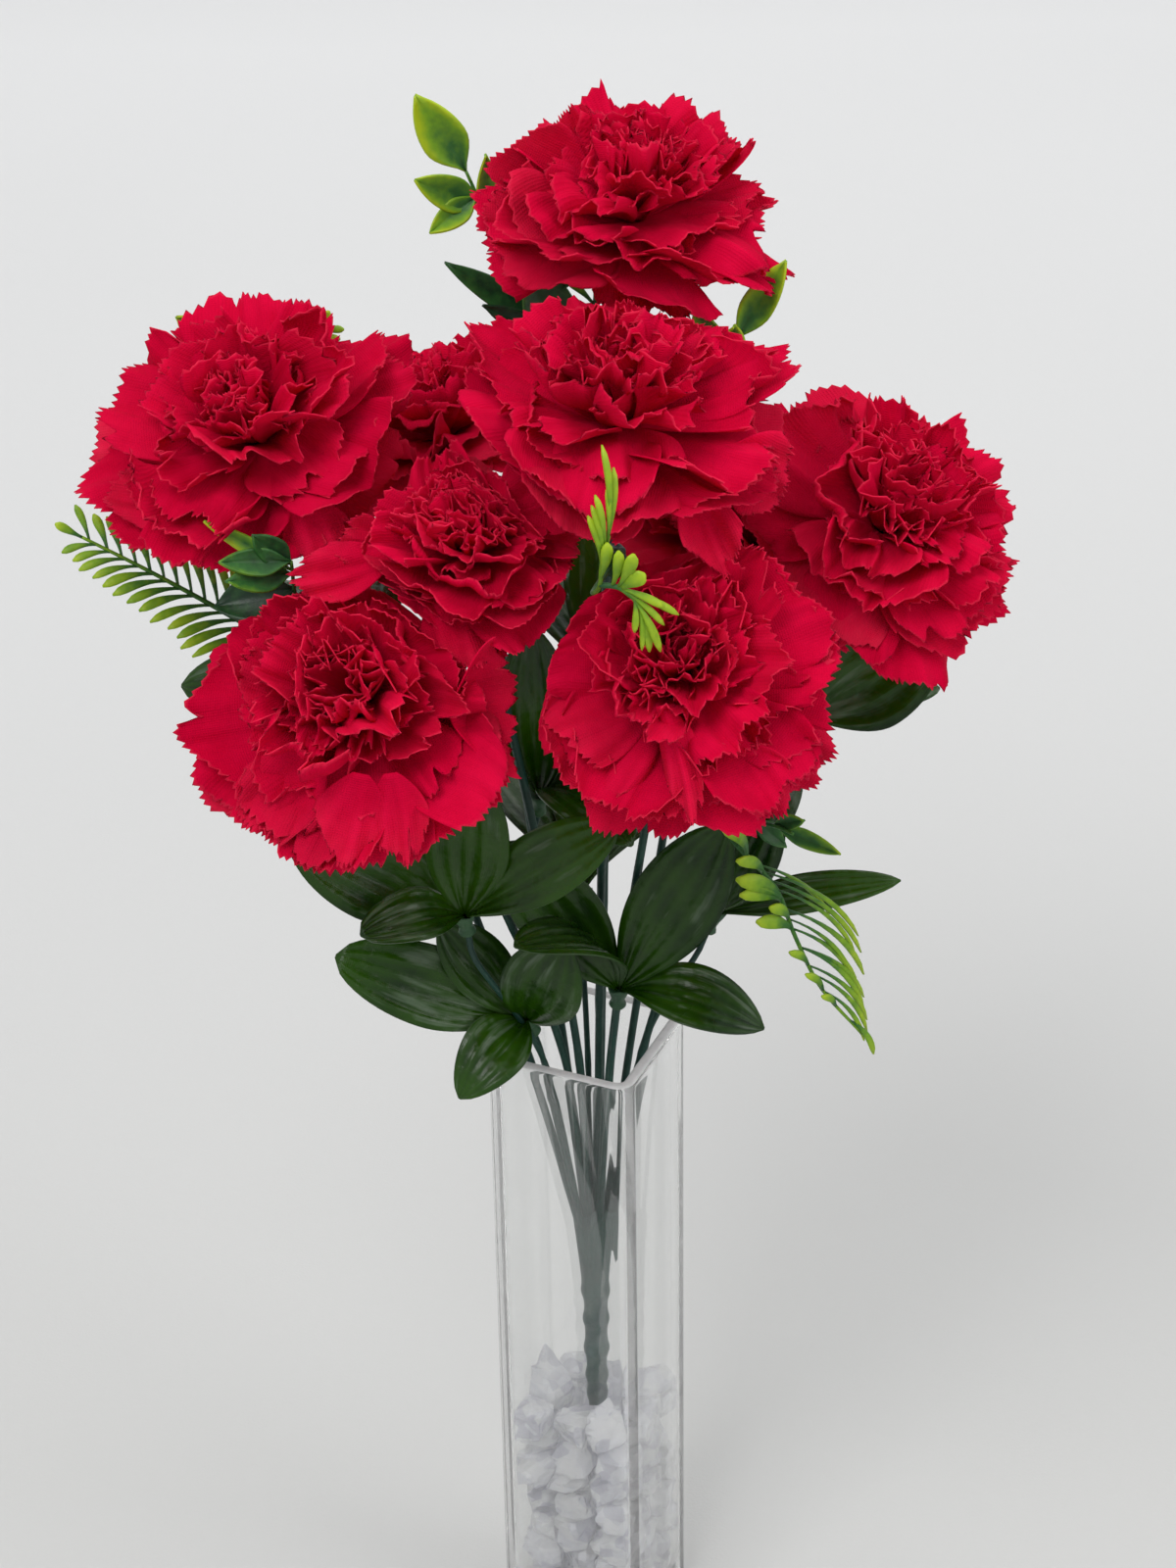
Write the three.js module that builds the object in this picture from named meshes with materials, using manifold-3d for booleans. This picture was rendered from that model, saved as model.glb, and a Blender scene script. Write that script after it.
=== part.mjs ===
import * as THREE from "three";
import { mergeVertices } from "three/addons/utils/BufferGeometryUtils.js";
import Module from "manifold-3d";

// A bush of artificial carnations standing in a tall square glass vase, bedded in clear chips.
// Millimetres, +Z up. The origin is the centre of the vase's foot, whose sides run along X and Y.
// The bush is laid out in its own frame, with its front at -Y, and stands turned in the vase.

const wasm = await Module();
wasm.setup();

const degrees = THREE.MathUtils.degToRad;

// ---- driving dimensions ----

const BUSH_TURN = degrees(24);
const GAP = 0.35;

const VASE_SIDE = 51;
const VASE_HEIGHT = 254;
const VASE_WALL = 4;
const VASE_FLOOR = 10;
const VASE_CORNER = 6;
const VASE_EASE = 1.2;

const CHIPS_TOP = 104;
const CHIP_SIZE = 29;
const CHIP_PITCH = 24;
const CHIPS_AROUND = 4;

const TRUNK_FOOT = 97;
const TRUNK_FORK = 182;
const TRUNK_RADIUS = 3.7;
const TRUNK_AXIS = [2, 0];
const FORK_RADIUS = 7.6;
const STEM_RADIUS = 1.3;
const TWIG_RADIUS = 1.0;
const MOUTH_MARGIN = 1.4;

const CALYX_LENGTH = 22;
const CALYX_RADIUS = 8;
const SOCKET_DEPTH = 8;
const PEG_LENGTH = 3;
const COLLAR_LENGTH = 9;
const COLLAR_RADIUS = 3.6;
const OWN_STEM_BELOW = 345;

const PETAL_THICKNESS = 0.8;
const LEAF_THICKNESS = 0.8;
const NARROW_THICKNESS = 1.0;

// Each head: the middle of its ring of outer petals, its lean to the right and to the front in
// degrees, and the reach of the outer petals.
const BLOOMS = {
  top: { at: [17, 15, 525], lean: [5, 12], reach: 49 },
  upper_left: { at: [-90, -25, 477], lean: [-15, 33], reach: 53 },
  upper_middle: { at: [10, -45, 488], lean: [2, 15], reach: 55, mouth: [4, -4] },
  right: { at: [87, -20, 443], lean: [25, 30], reach: 48 },
  lower_left: { at: [-60, -80, 421], lean: [-20, 46], reach: 53, mouth: [-8, -9] },
  lower_middle: { at: [27, -75, 428], lean: [3, 48], reach: 51, mouth: [8, -9] },
  left_of_middle: { at: [-29, -60, 456], lean: [-6, 26], reach: 45, mouth: [-3, -9] },
  back_left: { at: [-40, 45, 443], lean: [-15, -10], reach: 45 },
  back_right: { at: [50, 25, 413], lean: [20, -5], reach: 45 },
};

// The layers of one head, from the spread skirt to the ruffled middle. Lifts are in degrees above
// the ring, at the root and at the tip of a petal.
const PETAL_LAYERS = [
  { count: 6, length: 46, halfWidth: 22, lift: [10, -16], height: 1.6, columns: 4, rows: 2 },
  { count: 5, length: 40, halfWidth: 18, lift: [46, 20], height: 4, columns: 4, rows: 1 },
];
const PETAL_REACH = 49;
const PETAL_RUFFLE = 1.6;
const EDGE_LAP = 2.4;
const HEART_RADIUS = 17;
const HEART_HEIGHT = 28;
const HEART_FOLDS = 4;

// Each whorl of cloth leaves: the foot of its collar and the tips its leaves reach for, with the
// width of each leaf, how high it arches, and how far its face is turned from up to the front.
const WHORLS = {
  rim_left: {
    foot: [-17, -14, 264],
    leaves: [
      { tip: [-77, -26, 302], width: 26, arch: 4, facing: 0.8 },
      { tip: [-6, -36, 312], width: 27, arch: 5, facing: 0.8 },
      { tip: [-52, -34, 266], width: 20, arch: 6, facing: 0.4 },
      { tip: [-33, -18, 314], width: 20, arch: 3, facing: 0.8 },
    ],
  },
  rim_right: {
    foot: [10, -20, 278],
    leaves: [
      { tip: [43, -32, 350], width: 28, arch: 2, facing: 0.9 },
      { tip: [-20, -50, 322], width: 24, arch: 10, facing: 0.2 },
      { tip: [55, -40, 283], width: 22, arch: 9, facing: 0.45 },
      { tip: [-24, -26, 342], width: 26, arch: 2, facing: 0.9 },
    ],
  },
  left: {
    foot: [-36, -35, 316],
    leaves: [
      { tip: [-88, -40, 357], width: 30, arch: -2, facing: 0.9 },
      { tip: [-66, -62, 334], width: 18, arch: 6, facing: 0.5 },
      { tip: [-33, -50, 380], width: 26, arch: 0, facing: 1 },
      { tip: [10, -56, 366], width: 22, arch: 4, facing: 0.7 },
    ],
  },
  right: {
    foot: [39, -4, 295],
    leaves: [
      { tip: [58, -14, 352], width: 24, arch: 2, facing: 0.8 },
      { tip: [99, -14, 319], width: 13, arch: 7, facing: 0.7 },
      { tip: [68, 34, 332], width: 22, arch: 8, facing: 0.3 },
    ],
  },
  middle: {
    foot: [-14, -12, 345],
    leaves: [
      { tip: [5, -60, 360], width: 22, arch: 10, facing: 0.3 },
      { tip: [-14, -30, 418], width: 24, arch: 2, facing: 0.9 },
      { tip: [8, -26, 404], width: 24, arch: 3, facing: 0.8 },
    ],
  },
  under_right_bloom: {
    foot: [66, 3, 362],
    leaves: [
      { tip: [109, -3, 400], width: 33, arch: 2, facing: 1 },
      { tip: [112, 14, 372], width: 15, arch: 8, facing: 0.5 },
      { tip: [82, 46, 392], width: 22, arch: 6, facing: 0.2 },
    ],
  },
  under_left_bloom: {
    foot: [-70, 0, 372],
    leaves: [
      { tip: [-122, 0, 386], width: 24, arch: 6, facing: 0.6 },
      { tip: [-100, 46, 398], width: 22, arch: 8, facing: 0.2 },
      { tip: [-62, 44, 402], width: 22, arch: 6, facing: 0.2 },
    ],
  },
  back: {
    foot: [8, 34, 352],
    leaves: [
      { tip: [-22, 78, 388], width: 26, arch: 8, facing: 0 },
      { tip: [44, 76, 384], width: 26, arch: 8, facing: 0 },
      { tip: [6, 66, 414], width: 24, arch: 2, facing: 0 },
    ],
  },
  back_low: {
    foot: [-1, 17, 288],
    leaves: [
      { tip: [-40, 58, 322], width: 26, arch: 8, facing: 0 },
      { tip: [38, 52, 326], width: 26, arch: 8, facing: 0 },
      { tip: [2, 78, 306], width: 24, arch: 16, facing: 0 },
    ],
  },
};

// Each fern frond: the points its rib runs through, from the foot of its collar to its tip, the
// length of its longest leaflets, and the side its face looks to.
const FRONDS = {
  left: {
    rib: [[-88, -14, 405], [-109, -18, 422], [-127, -20, 435], [-145, -20, 446]],
    leaflet: 22,
    face: [0, -1, 0.9],
  },
  right: {
    rib: [[31, -34, 369], [46, -52, 354], [62, -58, 331], [80, -62, 300]],
    leaflet: 24,
    face: [0.7, -1, 0.4],
  },
  middle: {
    rib: [[10, -60, 455], [2, -98, 463], [5, -114, 482], [7, -106, 505]],
    leaflet: 20,
    face: [0.9, -0.8, 0.4],
  },
  behind_left: {
    rib: [[-79, 8, 455], [-80, 11, 472], [-79, 12, 487], [-74, 10, 498]],
    leaflet: 16,
    face: [0, -1, 0.4],
  },
  behind_top: {
    rib: [[6, 44, 480], [8, 54, 505], [10, 60, 524], [12, 62, 540]],
    leaflet: 14,
    face: [0, -1, 0.3],
  },
};
const LEAFLET_PAIRS = 8;
const LEAFLET_WIDTH = 4;
const RIB_WIDTH = 2.2;
const LEAFLET_SWEEP = degrees(38);

// Each leafy sprig: the points its stem runs through, its leaves' length and width, and their face.
const SPRIGS = {
  top_left: {
    stem: [[1, 36, 474], [-12, 40, 497], [-23, 40, 515], [-31, 38, 535]],
    leaf: [25, 12],
    face: [0.2, -1, 0.5],
  },
  top_right: {
    stem: [[37, 2, 462], [42, 0, 478], [45, -2, 490], [47, -4, 499]],
    leaf: [24, 10],
    face: [-0.2, -1, 0.3],
  },
  left: {
    stem: [[-92, 20, 446], [-100, 22, 470], [-105, 20, 484], [-108, 18, 492]],
    leaf: [18, 8],
    face: [0.2, -1, 0.4],
  },
  under_left: {
    stem: [[-75, -42, 414], [-83, -49, 423], [-92, -53, 430], [-100, -55, 437]],
    leaf: [19, 8],
    face: [0, -1, 0.7],
  },
  under_right: {
    stem: [[50, -26, 350], [55, -36, 354], [59, -42, 356], [63, -46, 356]],
    leaf: [18, 7],
    face: [0.1, -1, 0.6],
  },
};

// ---- solids and their joins ----

function solidOf(geometry) {
  const bare = geometry.clone();
  bare.deleteAttribute("normal");
  bare.deleteAttribute("uv");
  const merged = mergeVertices(bare, 1e-4);
  return new wasm.Manifold(
    new wasm.Mesh({
      numProp: 3,
      vertProperties: merged.attributes.position.array,
      triVerts: new Uint32Array(merged.index.array),
    }),
  );
}

function geometryOf(solid) {
  const mesh = solid.getMesh();
  const geometry = new THREE.BufferGeometry();
  geometry.setAttribute("position", new THREE.BufferAttribute(mesh.vertProperties, 3));
  geometry.setIndex(new THREE.BufferAttribute(mesh.triVerts, 1));
  geometry.computeVertexNormals();
  return geometry;
}

// Pieces joined into one body: hollows that the join seals are filled, and loose scraps dropped.
function fused(solids) {
  const whole = solids.reduce((sum, piece) => sum.add(piece));
  const bodies = whole.decompose();
  return bodies.reduce((largest, body) => (body.volume() > largest.volume() ? body : largest));
}

const vector = (xyz) => new THREE.Vector3(...xyz);

// A number source that gives the same run of numbers between 0 and 1 for the same seed.
function dice(seed) {
  let state = seed;
  return () => {
    state = (state * 16807) % 2147483647;
    return state / 2147483647;
  };
}

// A piece turned on a lathe: the profile is a list of [radius, height] from the bottom up.
function turned(profile, sides) {
  const points = profile.map(([radius, height]) => new THREE.Vector2(radius, height));
  return new THREE.LatheGeometry(points, sides).rotateX(Math.PI / 2);
}

// The way through a list of points, with its stations at the points themselves.
class Stations extends THREE.Curve {
  constructor(points) {
    super();
    this.points = points;
  }

  getPoint(share) {
    const place = share * (this.points.length - 1);
    const index = Math.min(Math.floor(place), this.points.length - 2);
    return this.points[index].clone().lerp(this.points[index + 1], place - index);
  }

  getPointAt(share) {
    return this.getPoint(share);
  }

  getTangentAt(share) {
    const index = Math.round(share * (this.points.length - 1));
    const here = this.points[index];
    const before = this.points[Math.max(index - 1, 0)];
    const after = this.points[Math.min(index + 1, this.points.length - 1)];
    const arriving = here.clone().sub(before).normalize();
    return after.clone().sub(here).normalize().add(arriving).normalize();
  }
}

// Points of the smooth curve through the given ones, cut into steps.
function smooth(points, steps) {
  return new THREE.CatmullRomCurve3(points, false, "centripetal").getSpacedPoints(steps);
}

// A round rod through the given stations.
function rod(stations, radius, sides) {
  const section = new THREE.Shape();
  for (let side = 0; side < sides; side += 1) {
    const angle = (2 * Math.PI * side) / sides;
    const corner = [radius * Math.cos(angle), radius * Math.sin(angle)];
    if (side === 0) section.moveTo(...corner);
    else section.lineTo(...corner);
  }
  section.closePath();
  const steps = stations.length - 1;
  const extrudePath = new Stations(stations);
  return solidOf(new THREE.ExtrudeGeometry(section, { steps, extrudePath, bevelEnabled: false }));
}

// ---- blades: petals, leaves ----

function surfaceNormal(surface, across, along) {
  const step = 0.02;
  const low = Math.max(along - step, 0);
  const high = Math.min(along + step, 1);
  const acrossLine = surface(across + step, along).sub(surface(across - step, along));
  const alongLine = surface(across, high).sub(surface(across, low));
  return acrossLine.cross(alongLine).normalize();
}

// A thin closed plate from the points of its front, those of its back in the same order, the
// triangles of the front and the border round it. Both faces are split into triangles alike.
function plate(front, back, faces, border) {
  const positions = [...front, ...back].flatMap((point) => point.toArray());
  const layer = front.length;
  const triangles = faces.flatMap(([a, b, c]) => [a, b, c, a + layer, c + layer, b + layer]);
  border.forEach((here, place) => {
    const next = border[(place + 1) % border.length];
    triangles.push(next, here, here + layer);
    triangles.push(next, here + layer, next + layer);
  });
  const geometry = new THREE.BufferGeometry();
  geometry.setAttribute("position", new THREE.Float32BufferAttribute(positions, 3));
  geometry.setIndex(triangles);
  return solidOf(geometry);
}

// A blade on both sides of a middle surface, which is a function of across (-1 to 1) and along
// (0 to 1).
function blade(surface, columns, rows, thickness) {
  const front = [];
  const back = [];
  for (let row = 0; row <= rows; row += 1) {
    for (let column = 0; column <= columns; column += 1) {
      const across = (2 * column) / columns - 1;
      const along = row / rows;
      const normal = surfaceNormal(surface, across, along);
      front.push(surface(across, along).addScaledVector(normal, thickness / 2));
      back.push(surface(across, along).addScaledVector(normal, -thickness / 2));
    }
  }
  const width = columns + 1;
  const faces = [];
  for (let row = 0; row < rows; row += 1) {
    for (let column = 0; column < columns; column += 1) {
      const near = row * width + column;
      const far = near + width;
      if (column < columns / 2) faces.push([near, near + 1, far + 1], [near, far + 1, far]);
      else faces.push([near, near + 1, far], [near + 1, far + 1, far]);
    }
  }
  const border = [];
  for (let column = 0; column < columns; column += 1) border.push(column);
  for (let row = 0; row < rows; row += 1) border.push(row * width + columns);
  for (let column = columns; column > 0; column -= 1) border.push(rows * width + column);
  for (let row = rows; row > 0; row -= 1) border.push(row * width);
  return plate(front, back, faces, border);
}

// ---- clearance between pieces ----

const placed = [];

function boxesMeet(a, b) {
  return [0, 1, 2].every((axis) => a.min[axis] < b.max[axis] && b.min[axis] < a.max[axis]);
}

// Whether a solid runs into a piece that is already placed.
function runsInto(solid, others) {
  const box = solid.boundingBox();
  return others.some(
    (other) => boxesMeet(box, other.box) && solid.intersect(other.solid).volume() > 1e-4,
  );
}

// Small turns to try, in degrees: none first, then ever wider rings of them.
const NUDGES = [[0, 0]];
for (let ring = 1; ring <= 7; ring += 1) {
  for (let spoke = 0; spoke < 8; spoke += 1) {
    const angle = (Math.PI * (spoke + 0.5 * (ring % 2))) / 4;
    NUDGES.push([6 * ring * Math.sin(angle), 6 * ring * Math.cos(angle)]);
  }
}

// The first nudge at which a piece, made a gap thicker all over, is clear of what is placed.
function clearNudge(make, name) {
  for (const share of [1, 0.85, 0.7]) {
    for (const [lift, swing] of NUDGES) {
      const turn = { lift: degrees(lift), swing: degrees(swing), share };
      if (!runsInto(make(turn, 2 * GAP), placed)) return turn;
    }
  }
  throw new Error("no clear place for " + name);
}

// The direction of a line after it is swung about the vertical and lifted from the level.
function nudged(line, turn) {
  const level = new THREE.Vector3(-line.y, line.x, 0);
  if (level.lengthSq() < 1e-6) level.set(1, 0, 0);
  level.normalize();
  return line
    .clone()
    .applyAxisAngle(level, -turn.lift)
    .applyAxisAngle(new THREE.Vector3(0, 0, 1), turn.swing)
    .multiplyScalar(turn.share);
}

// ---- the vase ----

function roundedSquare(side, corner, arcPoints) {
  const half = side / 2 - corner;
  const shape = new THREE.Shape();
  for (let quarter = 0; quarter < 4; quarter += 1) {
    const turn = (quarter * Math.PI) / 2;
    const x = half * (quarter === 0 || quarter === 3 ? 1 : -1);
    const y = half * (quarter < 2 ? 1 : -1);
    for (let place = 0; place <= arcPoints; place += 1) {
      const angle = turn + (place / arcPoints) * (Math.PI / 2);
      const spot = [x + corner * Math.cos(angle), y + corner * Math.sin(angle)];
      if (quarter === 0 && place === 0) shape.moveTo(...spot);
      else shape.lineTo(...spot);
    }
  }
  shape.closePath();
  return shape;
}

function makeVase() {
  const outline = roundedSquare(VASE_SIDE - 2 * VASE_EASE, VASE_CORNER - VASE_EASE, 3);
  const body = new THREE.ExtrudeGeometry(outline, {
    depth: VASE_HEIGHT - 2 * VASE_EASE,
    steps: 1,
    bevelThickness: VASE_EASE,
    bevelSize: VASE_EASE,
    bevelSegments: 1,
  }).translate(0, 0, VASE_EASE);
  const inside = VASE_SIDE - 2 * VASE_WALL;
  const hollow = new THREE.ExtrudeGeometry(roundedSquare(inside - 4, 1, 2), {
    depth: VASE_HEIGHT,
    steps: 1,
    bevelThickness: 2,
    bevelSize: 2,
    bevelSegments: 1,
  }).translate(0, 0, VASE_FLOOR + 2);
  return solidOf(body).subtract(solidOf(hollow));
}

// ---- the clear chips in the vase ----

// One chip: a six-cornered lump, pulled out of shape at random.
function chip(centre, roll) {
  const geometry = new THREE.OctahedronGeometry(CHIP_SIZE / 2, 0);
  geometry.deleteAttribute("normal");
  geometry.deleteAttribute("uv");
  const lump = mergeVertices(geometry, 1e-3);
  const position = lump.attributes.position;
  for (let corner = 0; corner < position.count; corner += 1) {
    const pull = 0.78 + 0.44 * roll();
    position.setXYZ(
      corner,
      position.getX(corner) * pull,
      position.getY(corner) * pull,
      position.getZ(corner) * pull,
    );
  }
  lump.rotateX(3 * roll()).rotateY(3 * roll()).rotateZ(3 * roll());
  lump.translate(centre.x, centre.y, centre.z);
  return solidOf(lump);
}

function makeChips() {
  const roll = dice(71);
  const inner = VASE_SIDE - 2 * VASE_WALL - 2 * GAP;
  const coreHeight = CHIPS_TOP - VASE_FLOOR - 18;
  const core = new THREE.BoxGeometry(inner - 15, inner - 15, coreHeight);
  const chips = [solidOf(core.translate(0, 0, VASE_FLOOR + 6 + coreHeight / 2))];
  const layers = Math.floor((CHIPS_TOP - VASE_FLOOR) / CHIP_PITCH);
  const ring = inner / 2 - 0.3 * CHIP_SIZE;
  for (let layer = 0; layer < layers; layer += 1) {
    const height = VASE_FLOOR + 7 + layer * CHIP_PITCH;
    for (let place = 0; place < CHIPS_AROUND; place += 1) {
      const angle = (2 * Math.PI * (place + 0.5 * (layer % 2))) / CHIPS_AROUND;
      const stretch = ring / Math.max(Math.abs(Math.cos(angle)), Math.abs(Math.sin(angle)));
      const centre = new THREE.Vector3(
        0.94 * stretch * Math.cos(angle),
        0.94 * stretch * Math.sin(angle),
        height + 3 * (roll() - 0.5),
      );
      chips.push(chip(centre, roll));
    }
  }
  for (const [x, y] of [[9, 8], [-8, 7], [8, -9], [-9, -8]]) {
    chips.push(chip(new THREE.Vector3(x, y, CHIPS_TOP - 8 + 3 * roll()), roll));
  }
  const room = solidOf(
    new THREE.ExtrudeGeometry(roundedSquare(inner - 4, 0.8, 1), {
      depth: VASE_HEIGHT / 2,
      bevelThickness: 2,
      bevelSize: 2,
      bevelSegments: 1,
    }).translate(0, 0, VASE_FLOOR + 2 + GAP),
  );
  const hole = solidOf(
    new THREE.CylinderGeometry(TRUNK_RADIUS + 1, TRUNK_RADIUS + 1, 60, 10)
      .rotateX(Math.PI / 2)
      .translate(...TRUNK_AXIS, TRUNK_FOOT - 1 + 30)
      .rotateZ(BUSH_TURN),
  );
  return fused([fused(chips).intersect(room).subtract(hole)]);
}

// ---- the moulded trunk with its stems ----

const trunkTop = new THREE.Vector3(...TRUNK_AXIS, TRUNK_FORK);

// A head's frame: its axis and two directions across it.
function headFrame({ at, lean }) {
  const [right, front] = lean.map((angle) => Math.tan(degrees(angle)));
  const axis = new THREE.Vector3(right, -front, 1).normalize();
  const matrix = new THREE.Matrix4().makeTranslation(...at);
  const turn = new THREE.Quaternion().setFromUnitVectors(new THREE.Vector3(0, 0, 1), axis);
  return { axis, matrix: matrix.multiply(new THREE.Matrix4().makeRotationFromQuaternion(turn)) };
}

// Where a stem passes the vase's mouth: on its straight way out, but no further than the rim.
function mouthPoint(end) {
  const share = (VASE_HEIGHT - TRUNK_FORK) / (end.z - TRUNK_FORK);
  const straight = trunkTop.clone().lerp(end, share);
  const inVase = straight.clone().applyAxisAngle(new THREE.Vector3(0, 0, 1), BUSH_TURN);
  const room = VASE_SIDE / 2 - VASE_WALL - STEM_RADIUS - MOUTH_MARGIN;
  const past = Math.max(Math.abs(inVase.x), Math.abs(inVase.y)) / room;
  const held = Math.max(past, 1);
  return new THREE.Vector3(straight.x / held, straight.y / held, VASE_HEIGHT);
}

// The way of a stem from inside the trunk to just below a socket, which it meets along its axis.
function stemWay({ foot, axis, mouth: given }) {
  const end = foot.clone().addScaledVector(axis, -PEG_LENGTH);
  const mouth = given ? new THREE.Vector3(...given, VASE_HEIGHT) : mouthPoint(end);
  const spread = new THREE.Vector3(mouth.x - trunkTop.x, mouth.y - trunkTop.y, 0);
  spread.multiplyScalar(0.26).clampLength(0, FORK_RADIUS - STEM_RADIUS - 1);
  const start = trunkTop.clone().add(spread).setZ(TRUNK_FORK - 5);
  const below = end.clone().addScaledVector(axis, -0.12 * (end.z - mouth.z));
  return [start, mouth, below, end];
}

// The end of a rod as a straight peg that stands in a socket.
function withPeg(stations, { foot, axis }, depth) {
  return [...stations, foot.clone().addScaledVector(axis, depth)];
}

function makeTrunk() {
  const profile = [[0, TRUNK_FOOT], [TRUNK_RADIUS - 0.9, TRUNK_FOOT + 1]];
  for (let knob = 0; knob < 3; knob += 1) {
    const height = TRUNK_FOOT + 6 + knob * 18;
    const radius = TRUNK_RADIUS + 0.6 * knob;
    profile.push([radius, height], [radius + 0.6, height + 8]);
  }
  profile.push([FORK_RADIUS, TRUNK_FORK - 12], [FORK_RADIUS - 1, TRUNK_FORK], [0, TRUNK_FORK + 1]);
  return solidOf(turned(profile, 7).translate(...TRUNK_AXIS, 0));
}

// ---- sockets: calyxes and collars ----

// A closed cone with a blind hole in its foot, standing along a direction with its foot at a point.
function socket(foot, direction, profile, sides) {
  const geometry = turned(profile, sides);
  const turn = new THREE.Quaternion().setFromUnitVectors(new THREE.Vector3(0, 0, 1), direction);
  geometry.applyQuaternion(turn).translate(foot.x, foot.y, foot.z);
  return solidOf(geometry);
}

function makeCalyx(foot, axis) {
  const hole = STEM_RADIUS + GAP;
  const profile = [
    [0, SOCKET_DEPTH],
    [hole, SOCKET_DEPTH],
    [hole, 0],
    [hole + 2, 0],
    [0.78 * CALYX_RADIUS, 0.5 * CALYX_LENGTH],
    [CALYX_RADIUS, CALYX_LENGTH],
    [0, CALYX_LENGTH],
  ];
  return socket(foot, axis, profile, 6);
}

function makeCollar(foot, axis, radius) {
  const hole = TWIG_RADIUS + GAP;
  const profile = [
    [0, 0.6 * COLLAR_LENGTH],
    [hole, 0.6 * COLLAR_LENGTH],
    [hole, 0],
    [hole + 0.9, 0],
    [radius, COLLAR_LENGTH],
    [0, COLLAR_LENGTH],
  ];
  return socket(foot, axis, profile, 5);
}

// ---- the blooms ----

// Planes that part a head from its neighbours, each as a direction and how far a petal may go.
function partings(name) {
  const own = vector(BLOOMS[name].at);
  return Object.keys(BLOOMS)
    .filter((other) => other !== name)
    .map((other) => {
      const line = vector(BLOOMS[other].at).sub(own);
      const distance = line.length();
      const share = BLOOMS[name].reach / (BLOOMS[name].reach + BLOOMS[other].reach);
      return { direction: line.normalize(), limit: distance * share - GAP - PETAL_THICKNESS };
    });
}

// A point moved back from the parting planes: what would pass a plane is pressed flat before it.
function pressed(point, own, planes) {
  const soft = 7;
  const give = 0.2;
  for (let pass = 0; pass < 3; pass += 1) {
    for (const { direction, limit } of planes) {
      const reach = point.clone().sub(own).dot(direction);
      const start = limit - soft;
      if (reach > start) {
        const kept = Math.min(start + give * (reach - start), limit);
        if (pass === 0 || reach > limit) point.addScaledVector(direction, kept - reach);
      }
    }
  }
  return point;
}

// The middle surface of a petal in its head's own frame: a fan that rises from the root by the
// first lift and bends over to the second, with a ruffled, toothed edge.
function petalPoint(layer, petal, across, along) {
  const teeth = Math.abs(((layer.columns * (across + 1)) / 2) % 2 - 1);
  const rounding = 1 - 0.2 * across * across;
  const length = layer.length * petal.scale * rounding * (1 - 0.1 * teeth * along);
  const first = degrees(layer.lift[0]) + petal.lift;
  const bend = degrees(layer.lift[1] - layer.lift[0]);
  const angle = first + bend * along;
  const out = (length * (Math.sin(angle) - Math.sin(first))) / bend;
  const up = (length * (Math.cos(first) - Math.cos(angle))) / bend;
  const spread = 0.03 + 0.97 * Math.sin((Math.PI / 2) * along) ** 1.2;
  const halfWidth = layer.halfWidth * petal.scale * spread;
  const wave = along * (PETAL_RUFFLE * Math.sin(1.5 * Math.PI * across) - EDGE_LAP * across);
  const radius = 2.5 + out - wave * Math.sin(angle);
  const side = halfWidth * across;
  const height = layer.height + up + wave * Math.cos(angle);
  return new THREE.Vector3(
    radius * Math.cos(petal.around) - side * Math.sin(petal.around),
    radius * Math.sin(petal.around) + side * Math.cos(petal.around),
    height,
  );
}

// The heart of a head: a folded cup with a crown inside, which stand for its crumpled petals. Each
// ring has a radius, a height and how far its folds go in and out and up and down.
function makeHeart(matrix, turn) {
  const rings = [
    { radius: 0, height: 0.02, fold: 0 },
    { radius: 0.5, height: 0.02, fold: 0 },
    { radius: 0.8, height: 0.35, fold: 0.08 },
    { radius: 1, height: 0.84, fold: 0.14 },
    { radius: 0.6, height: 0.66, fold: -0.12 },
    { radius: 0.42, height: 0.98, fold: 0.12 },
    { radius: 0, height: 0.8, fold: 0 },
  ];
  const heart = turned(rings.map(({ radius, height }) => [radius, height]), 2 * HEART_FOLDS);
  const position = heart.attributes.position;
  for (let corner = 0; corner < position.count; corner += 1) {
    const x = position.getX(corner);
    const y = position.getY(corner);
    const { fold } = rings[corner % rings.length];
    const ridge = fold * Math.cos(HEART_FOLDS * Math.atan2(y, x));
    const grown = HEART_RADIUS * (1 + ridge);
    position.setXYZ(corner, grown * x, grown * y, HEART_HEIGHT * (position.getZ(corner) + 0.6 * ridge));
  }
  return solidOf(heart.rotateZ(turn).applyMatrix4(matrix));
}

function makeBloom(name, seed) {
  const { at, reach } = BLOOMS[name];
  const { matrix } = headFrame(BLOOMS[name]);
  const own = vector(at);
  const planes = partings(name);
  const roll = dice(seed);
  const pieces = [makeHeart(matrix, 3 * roll())];
  PETAL_LAYERS.forEach((layer, level) => {
    const start = 2 * Math.PI * roll();
    for (let place = 0; place < layer.count; place += 1) {
      const petal = {
        around: start + (2 * Math.PI * (place + 0.25 * (roll() - 0.5))) / layer.count,
        scale: (reach / PETAL_REACH) * (0.94 + 0.1 * roll()),
        lift: degrees(8) * (roll() - 0.5),
      };
      const make = (turn, extra) => {
        const moved = { ...petal };
        moved.lift += Math.abs(turn.lift);
        moved.around += turn.swing;
        const surface = (across, along) =>
          pressed(petalPoint(layer, moved, across, along).applyMatrix4(matrix), own, planes);
        return blade(surface, layer.columns, layer.rows, PETAL_THICKNESS + extra);
      };
      const turn = level === 0 ? clearNudge(make, name + " petal") : { lift: 0, swing: 0 };
      pieces.push(make(turn, 0));
    }
  });
  return fused(pieces);
}

// ---- cloth leaves ----

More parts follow.
